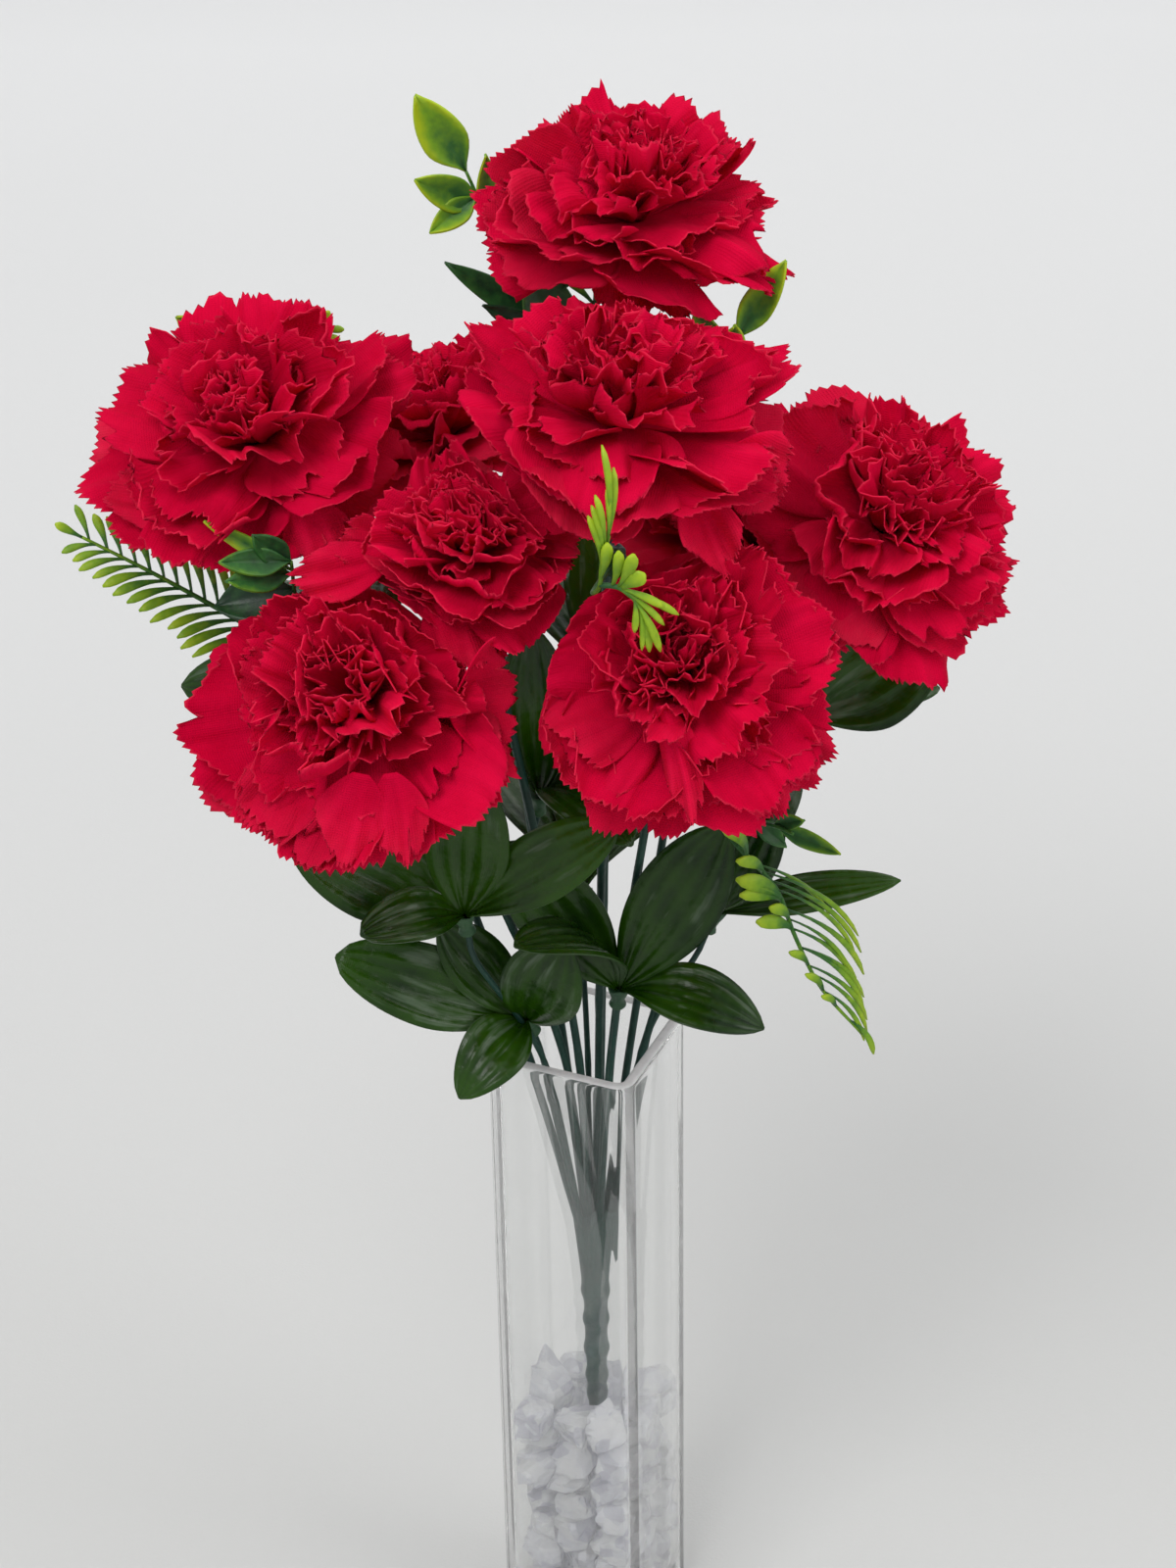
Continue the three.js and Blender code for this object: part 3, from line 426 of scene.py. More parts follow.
def object_noise(tree, scale, detail=3.0):
    """Noise over the object's own coordinates, in cycles a metre."""
    inputs = {"Scale": scale, "Detail": detail, "Vector": object_place(tree)}
    return node(tree, "TexNoise", inputs).outputs["Fac"]


def cloth_noise(tree, across, along, detail):
    """Noise drawn out along the cloth, in cycles a metre across and along it."""
    drawn = node(tree, "Mapping", {"Scale": (across, along, 1.0), "Vector": cloth_place(tree)})
    inputs = {"Scale": 1.0, "Detail": detail, "Vector": drawn.outputs[0]}
    return node(tree, "TexNoise", inputs).outputs["Fac"]


def ramp(tree, source, stops):
    """A Color Ramp over a source, with stops of (place, colour)."""
    made = node(tree, "ValToRGB", {"Fac": source})
    band = made.color_ramp
    while len(band.elements) < len(stops):
        band.elements.new(0.5)
    for element, (place, colour) in zip(band.elements, stops):
        element.position = place
        element.color = (*colour, 1)
    return made.outputs["Color"]


def ranged(tree, source, low, high, first=0.0, last=1.0):
    """A source between first and last, carried over to between low and high and held there."""
    inputs = {"Value": source, 1: first, 2: last, 3: low, 4: high}
    return node(tree, "MapRange", inputs).outputs[0]


def mixed(tree, factor, first, second):
    """Two colours mixed by a factor. Each may be a socket or a fixed colour."""
    return node(tree, "Mix", {0: factor, 6: first, 7: second}, data_type="RGBA").outputs[2]


def bumped(tree, height, distance, strength=1.0, after=None):
    """The normal over a bump of the given depth in metres, after another bump if there is one."""
    inputs = {"Height": height, "Distance": distance, "Strength": strength}
    if after is not None:
        inputs["Normal"] = after
    return node(tree, "Bump", inputs).outputs["Normal"]


def maths(tree, operation, *values):
    """One sum of one or two values, each a socket or a number."""
    return node(tree, "Math", dict(enumerate(values)), operation=operation).outputs[0]


def shared(tree, share, shader, other, out):
    """Sends a mix of two shaders to the output. The share is the part of the second."""
    mix = node(tree, "MixShader", {0: share, 1: shader.outputs[0], 2: other.outputs[0]})
    wired(tree, out, {"Surface": mix.outputs[0]})


# %% [markdown]
# ## Sweep paint
# The sweep is matt and pale grey, with light and shade painted into its colour: it is painted
# lighter with the distance behind the vase, as a paper roll looks that is lit from the back.
# Broad clouds a few per cent lighter and darker, and a very fine grain, keep it from looking like a
# flat backdrop colour.

# %% Floor material
# Painted shade and light: the sweep's colour runs from darker grey in front of the vase to light grey
# far behind it.
SWEEP_PAINTED_SHADING = [
    (0.0, (0.525, 0.525, 0.515)), (0.2, (0.535, 0.535, 0.525)), (0.45, (0.62, 0.62, 0.615)),
    (1.0, (0.84, 0.84, 0.84)),
]

floor_material, tree, shader, _ = new_material("pale_sweep")
turned = node(tree, "Mapping", {"Rotation": (0, 0, -BUSH_TURN), "Vector": object_place(tree)})
behind = node(tree, "SeparateXYZ", {"Vector": turned.outputs[0]}).outputs["Y"]
behind = ranged(tree, behind, 0.0, 1.0, -0.2, 1.9)
shake = maths(tree, "MULTIPLY", object_noise(tree, 1.3, 2.0), 0.12)
wired(tree, shader, {
    "Base Color": ramp(tree, maths(tree, "ADD", behind, shake), SWEEP_PAINTED_SHADING),
    "Normal": bumped(tree, object_noise(tree, 900.0), 0.0001),
    "Roughness": 0.85,
})
sweep_mesh.materials.append(floor_material)
print("nodes of the sweep's paint:", len(tree.nodes))

# %% [markdown]
# ## Petal cloth
# The petals are stamped from thin red polyester. It is matt, and it glows a little where light
# comes through a single layer. Light is also painted into the colour: the cut edge is painted as a
# paler line, and the ends of some petals, most in the outer skirt, are painted paler, both standing
# in for light that shines through the single layer there. The painted line is broken up by a noise,
# so that it comes and goes along the edge. A wave pattern on the cloth's own coordinates gives the
# weave, and a noise drawn out from root to edge gives the fine pleats that gathering the cloth has
# pressed into it.

# %% Petal material
# The third red is painted light: the paler red at cut edges and petal ends, standing in for light
# through a single layer.
RED_DEEP, RED_BRIGHT, RED_EDGE_PAINTED_LIGHT = (0.64, 0.0, 0.035), (0.8, 0.0025, 0.055), (0.88, 0.06, 0.12)
WEAVE_PITCH = 0.0007


def weave(tree, pitch):
    """Height of a plain weave: the larger of two sine waves, one across and one along the cloth."""
    split = node(tree, "SeparateXYZ", {"Vector": cloth_place(tree)})
    turns = 2 * math.pi / pitch
    across = maths(tree, "SINE", maths(tree, "MULTIPLY", split.outputs["X"], turns))
    along = maths(tree, "SINE", maths(tree, "MULTIPLY", split.outputs["Y"], turns))
    return maths(tree, "MAXIMUM", across, along)


petal_material, tree, shader, out = new_material("petal_cloth")
body = ramp(tree, object_noise(tree, 60.0), [(0.3, RED_DEEP), (0.65, RED_BRIGHT)])
# Painted light: the rim number, broken up by this noise, mixes the paler red in at cut edges and petal
# ends.
edge_light_breakup = ranged(tree, object_noise(tree, 260.0), 0.05, 0.6)
body = mixed(tree, maths(tree, "MULTIPLY", rim_number(tree), edge_light_breakup), body, RED_EDGE_PAINTED_LIGHT)
normal = bumped(tree, object_noise(tree, 220.0, 2.0), 0.0006, 0.5)
normal = bumped(tree, cloth_noise(tree, 420.0, 45.0, 2.0), 0.0008, 0.6, normal)
normal = bumped(tree, weave(tree, WEAVE_PITCH), 0.00012, 0.6, normal)
wired(tree, shader, {
    "Base Color": body,
    "Normal": normal,
    "Roughness": 0.8,
    "Specular IOR Level": 0.04,
    "Sheen Weight": 0.06,
    "Sheen Roughness": 0.4,
    "Sheen Tint": (1, 0.08, 0.2),
})
glow = node(tree, "BsdfTranslucent", {"Color": body, "Normal": normal})
shared(tree, 0.3, shader, glow, out)
print("nodes of the petal cloth:", len(tree.nodes))

# %% [markdown]
# ## Blades
# Leaves, leaflets and single petals are all blades: they start at a foot, arch to a tip, and have
# an upper side that looks some way. Two small functions serve them all, one for the place in space
# and one for the outline.

# %% A blade in space
# A full turn in radians, near enough for a random phase.
FULL_TURN = 6.3
LEAST_CROSS = 4


def shares(columns, rows):
    """The two numbers of every point of a grid: across from -1 to 1 and along from 0 to 1."""
    return np.linspace(-1, 1, columns + 1)[None, :], np.linspace(0, 1, rows + 1)[:, None]


def laid(root, tip, facing, arch, along):
    """Places a blade: its middle line, the direction across it and the direction over it.

    Across is square to the line and to the way its upper side faces, or along X where those two
    nearly agree, over is square to both, and the middle line is the quadratic arc from root to
    tip whose crest is raised by the arch."""
    root, tip = np.asarray(root, float), np.asarray(tip, float)
    line = tip - root
    level = np.cross(facing, line)
    level = unit(level) if np.linalg.norm(level) >= LEAST_CROSS else np.array([1.0, 0.0, 0.0])
    over = np.cross(unit(line), level)
    crest = (root + tip) / 2 + 2 * arch * over
    along = np.asarray(along)[..., None]
    middle = (1 - along) ** 2 * root + 2 * along * (1 - along) * crest + along**2 * tip
    return middle, level, over


def blade_outline(along, fullest, blunt):
    """Half width as a part of the widest: a sine up to the fullest place, and from there to the
    tip an ellipse to a power, where a small power gives a blunt tip and a large one a point."""
    rising = np.sin(np.pi / 2 * np.clip(along / fullest, 0, 1)) ** 1.15
    past = np.clip((along - fullest) / (1 - fullest), 0, 1)
    return np.maximum(np.where(along < fullest, rising, (1 - past**2) ** blunt), 0.04)


# %% [markdown]
# ## Carnation heads
# A silk carnation is a stack of stamped discs, each cut into broad petals with a zigzag edge. The
# lowest disc spreads flat and droops, the next ones rise more and more, and the middle is a few
# small crumpled petals that stand upright. Modelling every petal as one bent sheet, and crumpling
# it with waves that grow towards its edge, gives that look without any sculpting.

# %% Places of the heads
# Each head: the middle of its lowest disc, its lean to the right and to the front in degrees, and
# how far its outer petals reach.
BLOOMS = {
    "top": ([17, 15, 525], [5, 12], 49),
    "upper_left": ([-90, -25, 477], [-15, 33], 53),
    "upper_middle": ([10, -45, 488], [2, 15], 55),
    "right": ([87, -20, 443], [25, 30], 48),
    "lower_left": ([-60, -80, 421], [-20, 46], 53),
    "lower_middle": ([27, -75, 428], [3, 48], 51),
    "left_of_middle": ([-29, -60, 456], [-6, 26], 45),
    "back_left": ([-40, 45, 443], [-15, -10], 45),
    "back_right": ([50, 25, 413], [20, -5], 45),
}
# How much narrower a head is from front to back than from left to right.
SQUASH = {"upper_left": 0.87, "left_of_middle": 0.84}
PETAL_REACH = 49
CLOTH = 0.35


def head_axis(lean):
    """The direction a head looks in, from its lean to the right and to the front in degrees."""
    right, front = np.tan(np.radians(lean))
    return unit([right, -front, 1])


def turned_to(axis):
    """The smallest turn that takes Z to the axis, as a matrix with the turned axes in columns."""
    x, y, z = axis
    return np.array([
        [1 - x * x / (1 + z), -x * y / (1 + z), x],
        [-x * y / (1 + z), 1 - y * y / (1 + z), y],
        [-x, -y, z],
    ])


# %% Room between the heads
SOFT_ZONE, GIVE = 10.0, 0.55


def partings(name):
    """Planes that part a head from its neighbours: a direction to each other head, and how far
    along it a petal may go, which shares the distance as the two heads' reaches do."""
    at, _, reach = BLOOMS[name]
    others = [bloom for other, bloom in BLOOMS.items() if other != name]
    lines = np.array([bloom[0] for bloom in others], float) - at
    distances = np.linalg.norm(lines, axis=1)
    shares = reach / (reach + np.array([bloom[2] for bloom in others]))
    return unit(lines), distances * shares


def pressed(points, at, planes, slack):
    """Points moved back from each plane: what comes nearer than the soft zone keeps only a part of
    its way, as cloth does that lies against a neighbour. The slack lets one petal go further than
    the next, so that the petals don't all end in one plane."""
    points = points.copy()
    for direction, limit in zip(*planes):
        reach = (points - at) @ direction
        start = limit + slack - SOFT_ZONE
        excess = np.maximum(reach - start, 0)
        points -= (excess - SOFT_ZONE * np.tanh(GIVE * excess / SOFT_ZONE))[..., None] * direction
    return points


# %% One petal
# The steps along a petal get shorter towards its end, where the zigzag is.
PETAL_COLUMNS, CUT_WIDTH, EDGE = 36, 0.05, 0.98
ALONG = np.array([
    0, 0.07, 0.15, 0.24, 0.33, 0.42, 0.51, 0.6, 0.68, 0.76, 0.84, 0.91, 0.965, 1.0,
])[:, None]
ACROSS = np.linspace(-1, 1, PETAL_COLUMNS + 1)[None, :]


def petal_outline(layer, roll):
    """How long a petal is at each place across it, in millimetres.

    Its end is an arc that falls off with the square of across, with a slow wave that makes it
    lobed, three narrow cuts shaped like bells, and a zigzag: every second column ends one tooth
    shorter."""
    lobes = 0.05 * np.cos(1.5 * np.pi * ACROSS + FULL_TURN * roll.random())
    lobes = 1 - layer["round"] * ACROSS**2 + lobes
    length = layer["length"] * (1 + layer["uneven"] * (roll.random() - 0.6)) * lobes
    cuts = roll.uniform(-0.85, 0.85, (3, 1))
    depth = 11 * roll.random((3, 1)) ** 3.5
    depth = (depth * np.exp(-((ACROSS - cuts) / CUT_WIDTH) ** 2)).sum(axis=0)
    length = length - depth * ALONG**9
    tooth = (np.arange(PETAL_COLUMNS + 1) % 2) * roll.uniform(0.9, 2.4, PETAL_COLUMNS + 1)
    ragged = length - tooth - 0.7 * roll.random(PETAL_COLUMNS + 1)
    return length + (ragged - length) * ALONG**24


def petal(layer, roll, scale):
    """The middle surface of a petal in its head's frame, for across from -1 to 1 and along from
    0 to 1.

    The petal's slope starts at the first lift and ends at the last, and is summed along it to
    give how far out and how high each point lies. Its half width grows as a power of the sine of
    along, and it is wrapped round an upright cylinder of the layer's bend radius. What crumples
    it stands up along its normal: a cup that grows with the square of across, a fold along the
    middle, a twist, and waves that grow towards the edge."""
    length = scale * petal_outline(layer, roll)
    first, last = np.radians(layer["lift"]) + np.radians(layer["stray"]) * (roll.random(2) - 0.5)
    curl = np.radians(layer["curl"]) * roll.uniform(-0.6, 1.2)
    curl = curl * (1 + 0.7 * np.sin(2 * ACROSS + FULL_TURN * roll.random()))
    slope = first + (last - first) * ALONG + curl * np.clip((ALONG - 0.55) / 0.45, 0, 1) ** 2
    step = np.diff(ALONG, axis=0, prepend=0)
    out = length * np.cumsum(step * np.cos(slope), axis=0)
    up = length * np.cumsum(step * np.sin(slope), axis=0)
    width = layer["half_width"] * scale * (0.12 + 0.88 * np.sin(np.pi / 2 * ALONG) ** 1.1)
    width = width * roll.uniform(0.8, 1.08)
    cup = roll.uniform(*layer["cup"]) * ACROSS**2 + roll.uniform(-0.3, 0.3) * np.abs(ACROSS)
    twist = (roll.uniform(-0.3, 0.3) - layer["lap"]) * ACROSS
    phases = FULL_TURN * roll.random(4)
    waves = np.sin(layer["waves"] * np.pi * ACROSS + phases[0] + 1.2 * ALONG)
    waves = waves + 0.45 * ALONG * np.sin(2.6 * layer["waves"] * np.pi * ACROSS + phases[1])
    ruffle = layer["ruffle"] * roll.uniform(0.5, 1.3) * ALONG**1.6 * waves
    rise = (cup + twist) * width * ALONG**0.8 + ruffle
    aside = 0.4 * layer["ruffle"] * ALONG**2 * np.cos(layer["waves"] * np.pi * ACROSS + phases[2])
    sway = roll.uniform(-0.14, 0.14) * length * ALONG**2
    distance = 2.5 + out - rise * np.sin(slope)
    bend = np.maximum(distance, layer["bend"])
    turn = (width * ACROSS + aside + sway) / bend
    middle = np.stack([
        distance - bend * (1 - np.cos(turn)),
        bend * np.sin(turn),
        layer["height"] + up + rise * np.cos(slope),
    ], -1)
    # Painted light: the rim number makes the end of some petals paler and the cut edge fully pale,
    # standing in for light through a single layer.
    pale = layer["pale"] * roll.random() ** 3 * ALONG**2
    return middle, width * ACROSS, length * ALONG, np.maximum(pale, ALONG > EDGE)


def placed_petal(root, tip, width, facing, cup, roll):
    """The middle surface of a petal laid from a root to a tip.

    It is a blade whose place along its arc is along times the outline over the length, so that its
    end keeps its zigzag, with a cup that grows with the square of across and slow waves."""
    root, tip = np.array(root, float), np.array(tip, float)
    length = np.linalg.norm(tip - root)
    outline = petal_outline({"length": length, "uneven": 0.0, "round": 0.42}, roll)
    middle, level, over = laid(root, tip, facing, -0.12 * length, ALONG * outline / length)
    half = width / 2 * (0.2 + 0.8 * np.sin(np.pi / 2 * ALONG) ** 0.9)
    waves = np.sin(2.6 * np.pi * ACROSS + FULL_TURN * roll.random() + 2 * ALONG)
    rise = cup * half * ACROSS**2 + 1.7 * ALONG**1.3 * waves
    middle = middle + (half * ACROSS)[..., None] * level + rise[..., None] * over
    # Painted light: the rim number makes the petal's end and its cut edge paler, as light through a
    # single layer.
    return middle, half * ACROSS, outline * ALONG, np.maximum(0.45 * ALONG**2, ALONG > EDGE)


def spun(points, angle):
    """Points turned about Z by an angle."""
    x, y, z = np.moveaxis(points, -1, 0)
    return np.stack([
        x * np.cos(angle) - y * np.sin(angle),
        x * np.sin(angle) + y * np.cos(angle),
        z,
    ], -1)


# %% The layers of a head
# From the spread skirt to the crumpled middle. Lifts are degrees above the disc at the root and at
# the tip, curl bends the last part of a petal further, cup is the range of how far its sides
# stand up, and lap tilts each petal over its neighbour.
# The pale column is how much paler the end of a petal is painted, as painted light through a single
# layer, most on the outer skirt.
LAYER_KEYS = (
    "count", "length", "half_width", "lift", "stray", "curl", "ruffle", "waves", "cup", "lap", "bend",
    "height", "uneven", "round", "pale",
)
LAYER_ROWS = [
    (6, 48, 22, (4, -14), 14, -20, 1.8, 1.6, (-0.15, 0.3), 0.1, 60, 0.6, 0.2, 0.18, 0.9),
    (6, 46, 21, (12, -4), 18, 25, 2.2, 1.8, (-0.1, 0.4), 0.1, 60, 1.6, 0.26, 0.18, 0.6),
    (6, 43, 20, (22, 4), 22, 35, 2.6, 2.0, (-0.2, 0.5), 0.1, 44, 2.6, 0.3, 0.18, 0.4),
    (6, 39, 19, (34, 14), 26, 40, 2.8, 2.2, (-0.2, 0.6), 0.08, 32, 3.6, 0.32, 0.18, 0.3),
    (6, 35, 17, (46, 28), 30, 40, 3.0, 2.4, (-0.2, 0.6), 0.06, 22, 4.4, 0.32, 0.16, 0.2),
    (6, 31, 15, (58, 42), 32, 40, 3.2, 2.6, (-0.3, 0.6), 0.04, 15, 5.2, 0.3, 0.14, 0.2),
    (7, 27, 13, (74, 64), 30, 40, 3.2, 2.8, (-0.4, 0.5), 0.0, 9, 6.0, 0.28, 0.12, 0.2),
    (5, 25, 10, (86, 78), 20, 30, 2.8, 2.6, (-0.5, 0.3), 0.0, 5, 5.0, 0.25, 0.12, 0.2),
]
LAYERS = [dict(zip(LAYER_KEYS, row)) for row in LAYER_ROWS]
print("petals a head:", sum(layer["count"] for layer in LAYERS))

# %% [markdown]
# ## Petals that stand out
# Some petals break out of the round of a head: a smooth one that cups round its neighbours, pointed
# ones that stand up, and long ones that hang down under the skirt. They give each head a shape of
# its own, so they are listed with their roots and tips.

# %% Single petals
# Each petal: root, tip, width, the way its inner side looks, and how far its sides stand up.
SINGLE_PETALS = {
    "top": [
        ([5, 16, 532], [-23, 14, 548], 34, [0.5, -1, 0.2], 0.6),
        ([3, 8, 529], [-27, 6, 531], 26, [0.3, -1, 0.6], 0.5),
        ([10, 22, 534], [-1, 26, 560], 17, [0.1, -1, 0.1], 0.4),
        ([14, 24, 534], [8, 26, 556], 14, [0, -1, 0.1], 0.4),
        ([16, 6, 524], [14, -10, 505], 19, [0, -1, 0.4], -0.3),
        ([21, 6, 524], [34, -10, 508], 18, [0.1, -1, 0.4], -0.3),
    ],
    "upper_left": [
        ([-95, -52, 470], [-105, -62, 456], 12, [0, -1, 0.3], -0.6),
        ([-78, -54, 474], [-70, -62, 457], 20, [0, -1, 0.4], -0.3),
        ([-107, -44, 472], [-135, -36, 470], 24, [-0.2, -0.8, 1], 0.2),
    ],
    "upper_middle": [
        ([30, -70, 484], [43, -78, 460], 17, [0.1, -1, 0.2], 0.9),
        ([41, -62, 488], [60, -60, 477], 26, [0.3, -1, 0.5], 0.3),
    ],
    "right": [
        ([83, -44, 442], [69, -52, 423], 22, [-0.1, -1, 0.4], -0.3),
        ([90, -44, 438], [106, -40, 416], 20, [0.2, -1, 0.3], -0.3),
    ],
    "lower_left": [
        ([-36, -98, 428], [-17, -84, 425], 40, [-0.5, -1, 0.3], 0.6),
        ([-72, -108, 422], [-93, -112, 398], 26, [-0.2, -1, 0.3], 0.2),
        ([-60, -116, 420], [-66, -124, 396], 22, [0, -1, 0.3], -0.2),
        ([-52, -116, 420], [-49, -124, 395], 18, [0, -1, 0.3], -0.2),
    ],
    "lower_middle": [
        ([22, -106, 434], [30, -120, 405], 13, [-0.2, -1, 0.2], -0.9),
        ([46, -92, 420], [71, -88, 401], 26, [0.2, -1, 0.4], 0.2),
        ([41, -100, 418], [54, -104, 395], 24, [0, -1, 0.3], 0.2),
        ([27, -88, 430], [22, -92, 456], 26, [0.1, -1, 0.4], 0.7),
        ([27, -88, 430], [42, -98, 450], 22, [-0.2, -1, 0.5], 0.7),
    ],
    "left_of_middle": [
        ([-39, -78, 458], [-30, -93, 438], 22, [0, -1, 0.4], -0.3),
        ([-22, -64, 466], [2, -62, 460], 22, [0.2, -1, 0.5], 0.3),
        ([-20, -58, 468], [-3, -54, 479], 25, [0.1, -1, 0.5], 0.4),
        ([-52, -68, 462], [-80, -78, 459], 18, [-0.1, -1, 0.7], 0.2),
        ([-50, -64, 463], [-68, -66, 466], 17, [-0.1, -1, 0.5], 0.3),
    ],
}


def make_head(name, seed):
    """Every petal of a head in one mesh: turned round the head's axis, tilted with the head, and
    pressed back from its neighbours. The single petals come last."""
    at, lean, reach = BLOOMS[name]
    tilt = turned_to(head_axis(lean))
    planes = partings(name)
    roll = np.random.default_rng(seed)
    heap = Heap()
    for layer in LAYERS:
        start = 2 * np.pi * roll.random()
        for place in range(layer["count"]):
            angle = start + 2 * np.pi * (place + 0.5 * (roll.random() - 0.5)) / layer["count"]
            middle, across, along, rim = petal(layer, roll, reach / PETAL_REACH)
            middle = spun(middle, angle) * [1, SQUASH.get(name, 1), 1] @ tilt.T + at
            slack = roll.uniform(-5, 3)
            heap.add_sheet(pressed(middle, at, planes, slack), CLOTH, across, along, rim)
    for root, tip, width, facing, cup in SINGLE_PETALS.get(name, []):
        middle, across, along, rim = placed_petal(root, tip, width, facing, cup, roll)
        heap.add_sheet(middle, CLOTH, across, along, rim)
    return heap.piece("petals_" + name, ["bloom_" + name])


for place, name in enumerate(BLOOMS):
    head = make_head(name, 11 + place)
    head.data.materials.append(petal_material)

# %% [markdown]
# ## Trunk and stems
# The bush is moulded around wires: a trunk with a few knobs stands in the chips, forks near the
# middle of the vase, and nine long stems fan out through its mouth. Each stem is a rod along a
# smooth curve through four stations: its start in the fork, its place in the mouth, a point
# straight under its calyx, and the calyx itself.

# %% Ways of the nine long stems
TRUNK_FOOT, TRUNK_FORK, FORK_RADIUS = 98, 182, 7.4
STEM_RADIUS, TWIG_RADIUS = 1.3, 1.0
STEM_STEPS, TWIG_STEPS = 40, 30
TRUNK_X = 2.0
TRUNK_TOP = np.array([TRUNK_X, 0.0, TRUNK_FORK])
CALYX_LENGTH, PEG = 22, 3
GIVEN_MOUTHS = {
    "upper_middle": [4, -4],
    "lower_left": [-8, -9],
    "lower_middle": [8, -9],
    "left_of_middle": [-3, -9],
}


def mouth_point(end):
    """Where a straight line from the fork to the end crosses the mouth, drawn in towards the
    middle until the stem clears the glass."""
    straight = TRUNK_TOP + (end - TRUNK_TOP) * (VASE_HEIGHT - TRUNK_FORK) / (end[2] - TRUNK_FORK)
    room = VASE_SIDE / 2 - VASE_WALL - STEM_RADIUS - 1.4
    past = np.abs((ABOUT_Z @ straight)[:2]).max() / room
    return np.append(straight[:2] / max(past, 1), VASE_HEIGHT)


def stem_stations(foot, axis, mouth=None):
    """The four stations of a long stem that ends at a foot in the direction of its axis."""
    end = foot - PEG * axis
    mouth = mouth_point(end) if mouth is None else np.array([*mouth, VASE_HEIGHT], float)
    spread = np.append(0.26 * (mouth - TRUNK_TOP)[:2], 0)
    spread *= min(1, (FORK_RADIUS - STEM_RADIUS - 1) / max(np.linalg.norm(spread), 1e-9))
    start = TRUNK_TOP + spread - [0, 0, 5]
    return np.array([start, mouth, end - 0.12 * (end[2] - mouth[2]) * axis, end])


BLOOM_FEET = {
    name: (np.array(at) - CALYX_LENGTH * head_axis(lean), head_axis(lean))
    for name, (at, lean, _) in BLOOMS.items()
}
BLOOM_WAYS = {
    name: smooth_line(stem_stations(foot, axis, GIVEN_MOUTHS.get(name)), STEM_STEPS)
    for name, (foot, axis) in BLOOM_FEET.items()
}
print("stem lengths:", [round(float(run_along(way)[-1])) for way in BLOOM_WAYS.values()], "mm")

# %% [markdown]
# ## Whorls, ferns and sprigs: where they grow
# Every whorl, fern and sprig is pushed on a peg of the moulding. The tables give, in millimetres
# in the bush's frame, where the leaves' tips reach and through which points the ribs run. One
# leaf at the front is bent down over the vase's rim. The small turns in NUDGES are how far a leaf
# was moved aside so that it clears its neighbour.

# %% Tables of the greenery
# Foot of each collar, and for each leaf its tip, its width, how far it arches, and how far its upper
# side looks to the front: 1 is straight to the front and 0 straight up.
WHORLS = {
    "rim_left": ([-17, -14, 264], [
        ([-77, -26, 302], 26, 4, 0.8), ([-6, -36, 312], 27, 5, 0.8),
        ([-40, -43, 260], 21, 8, 0.6), ([-33, -18, 314], 20, 3, 0.8),
    ]),
    "rim_right": ([10, -20, 278], [
        ([43, -32, 350], 28, 2, 0.9), ([-20, -50, 322], 24, 10, 0.2),
        ([55, -40, 283], 22, 9, 0.45), ([-24, -26, 342], 26, 2, 0.9),
    ]),
    "left": ([-36, -35, 316], [
        ([-88, -40, 357], 30, -2, 0.9), ([-66, -62, 334], 18, 6, 0.5),
        ([-33, -50, 380], 26, 0, 1), ([10, -56, 366], 22, 4, 0.7),
    ]),
    "right": ([39, -4, 295], [
        ([58, -14, 352], 24, 2, 0.8), ([99, -14, 319], 13, 7, 0.7), ([68, 34, 332], 22, 8, 0.3),
    ]),
    "middle": ([-14, -12, 345], [
        ([5, -60, 360], 22, 10, 0.3), ([-14, -30, 418], 24, 2, 0.9), ([8, -26, 404], 24, 3, 0.8),
    ]),
    "under_right_bloom": ([66, 3, 362], [
        ([109, -3, 400], 33, 2, 1), ([112, 14, 372], 15, 8, 0.5), ([82, 46, 392], 22, 6, 0.2),
    ]),
    "under_left_bloom": ([-70, 0, 372], [
        ([-122, 0, 386], 24, 6, 0.6), ([-100, 46, 398], 22, 8, 0.2), ([-62, 44, 402], 22, 6, 0.2),
    ]),
    "back": ([8, 34, 352], [
        ([-22, 78, 388], 26, 8, 0), ([44, 76, 384], 26, 8, 0), ([6, 66, 414], 24, 2, 0),
    ]),
    "back_low": ([-1, 17, 288], [
        ([-40, 58, 322], 26, 8, 0), ([38, 52, 326], 26, 8, 0), ([2, 78, 306], 24, 16, 0),
    ]),
}
# Points of each frond's rib.
FRONDS = {
    "left": [[-88, -14, 405], [-109, -18, 422], [-127, -20, 435], [-145, -20, 446]],
    "right": [[31, -34, 369], [46, -52, 354], [62, -58, 331], [80, -62, 300]],
    "middle": [[10, -60, 455], [2, -98, 463], [5, -114, 482], [7, -106, 505]],
    "behind_left": [[-79, 8, 455], [-80, 11, 472], [-79, 12, 487], [-74, 10, 498]],
    "behind_top": [[6, 44, 480], [8, 54, 505], [10, 60, 524], [12, 62, 540]],
}
# Points of each sprig's stalk.
SPRIGS = {
    "top_left": [[1, 36, 474], [-12, 40, 497], [-23, 40, 515], [-31, 38, 535]],
    "top_right": [[37, 2, 462], [42, 0, 478], [45, -2, 490], [47, -4, 499]],
    "left": [[-92, 20, 446], [-100, 22, 470], [-105, 20, 484], [-108, 18, 492]],
    "under_left": [[-75, -42, 414], [-83, -49, 423], [-92, -53, 430], [-100, -55, 437]],
    "under_right": [[50, -26, 350], [55, -36, 354], [59, -42, 356], [63, -46, 356]],
}
# Lift and swing in degrees of a leaf, by whorl and number.
NUDGES = {
    ("rim_left", 3): (-16.63, -6.89),
    ("middle", 0): (0, 12),
    ("middle", 2): (5.54, 2.3),
    ("back_low", 0): (0, -12),
}
COLLAR_LENGTH = 9


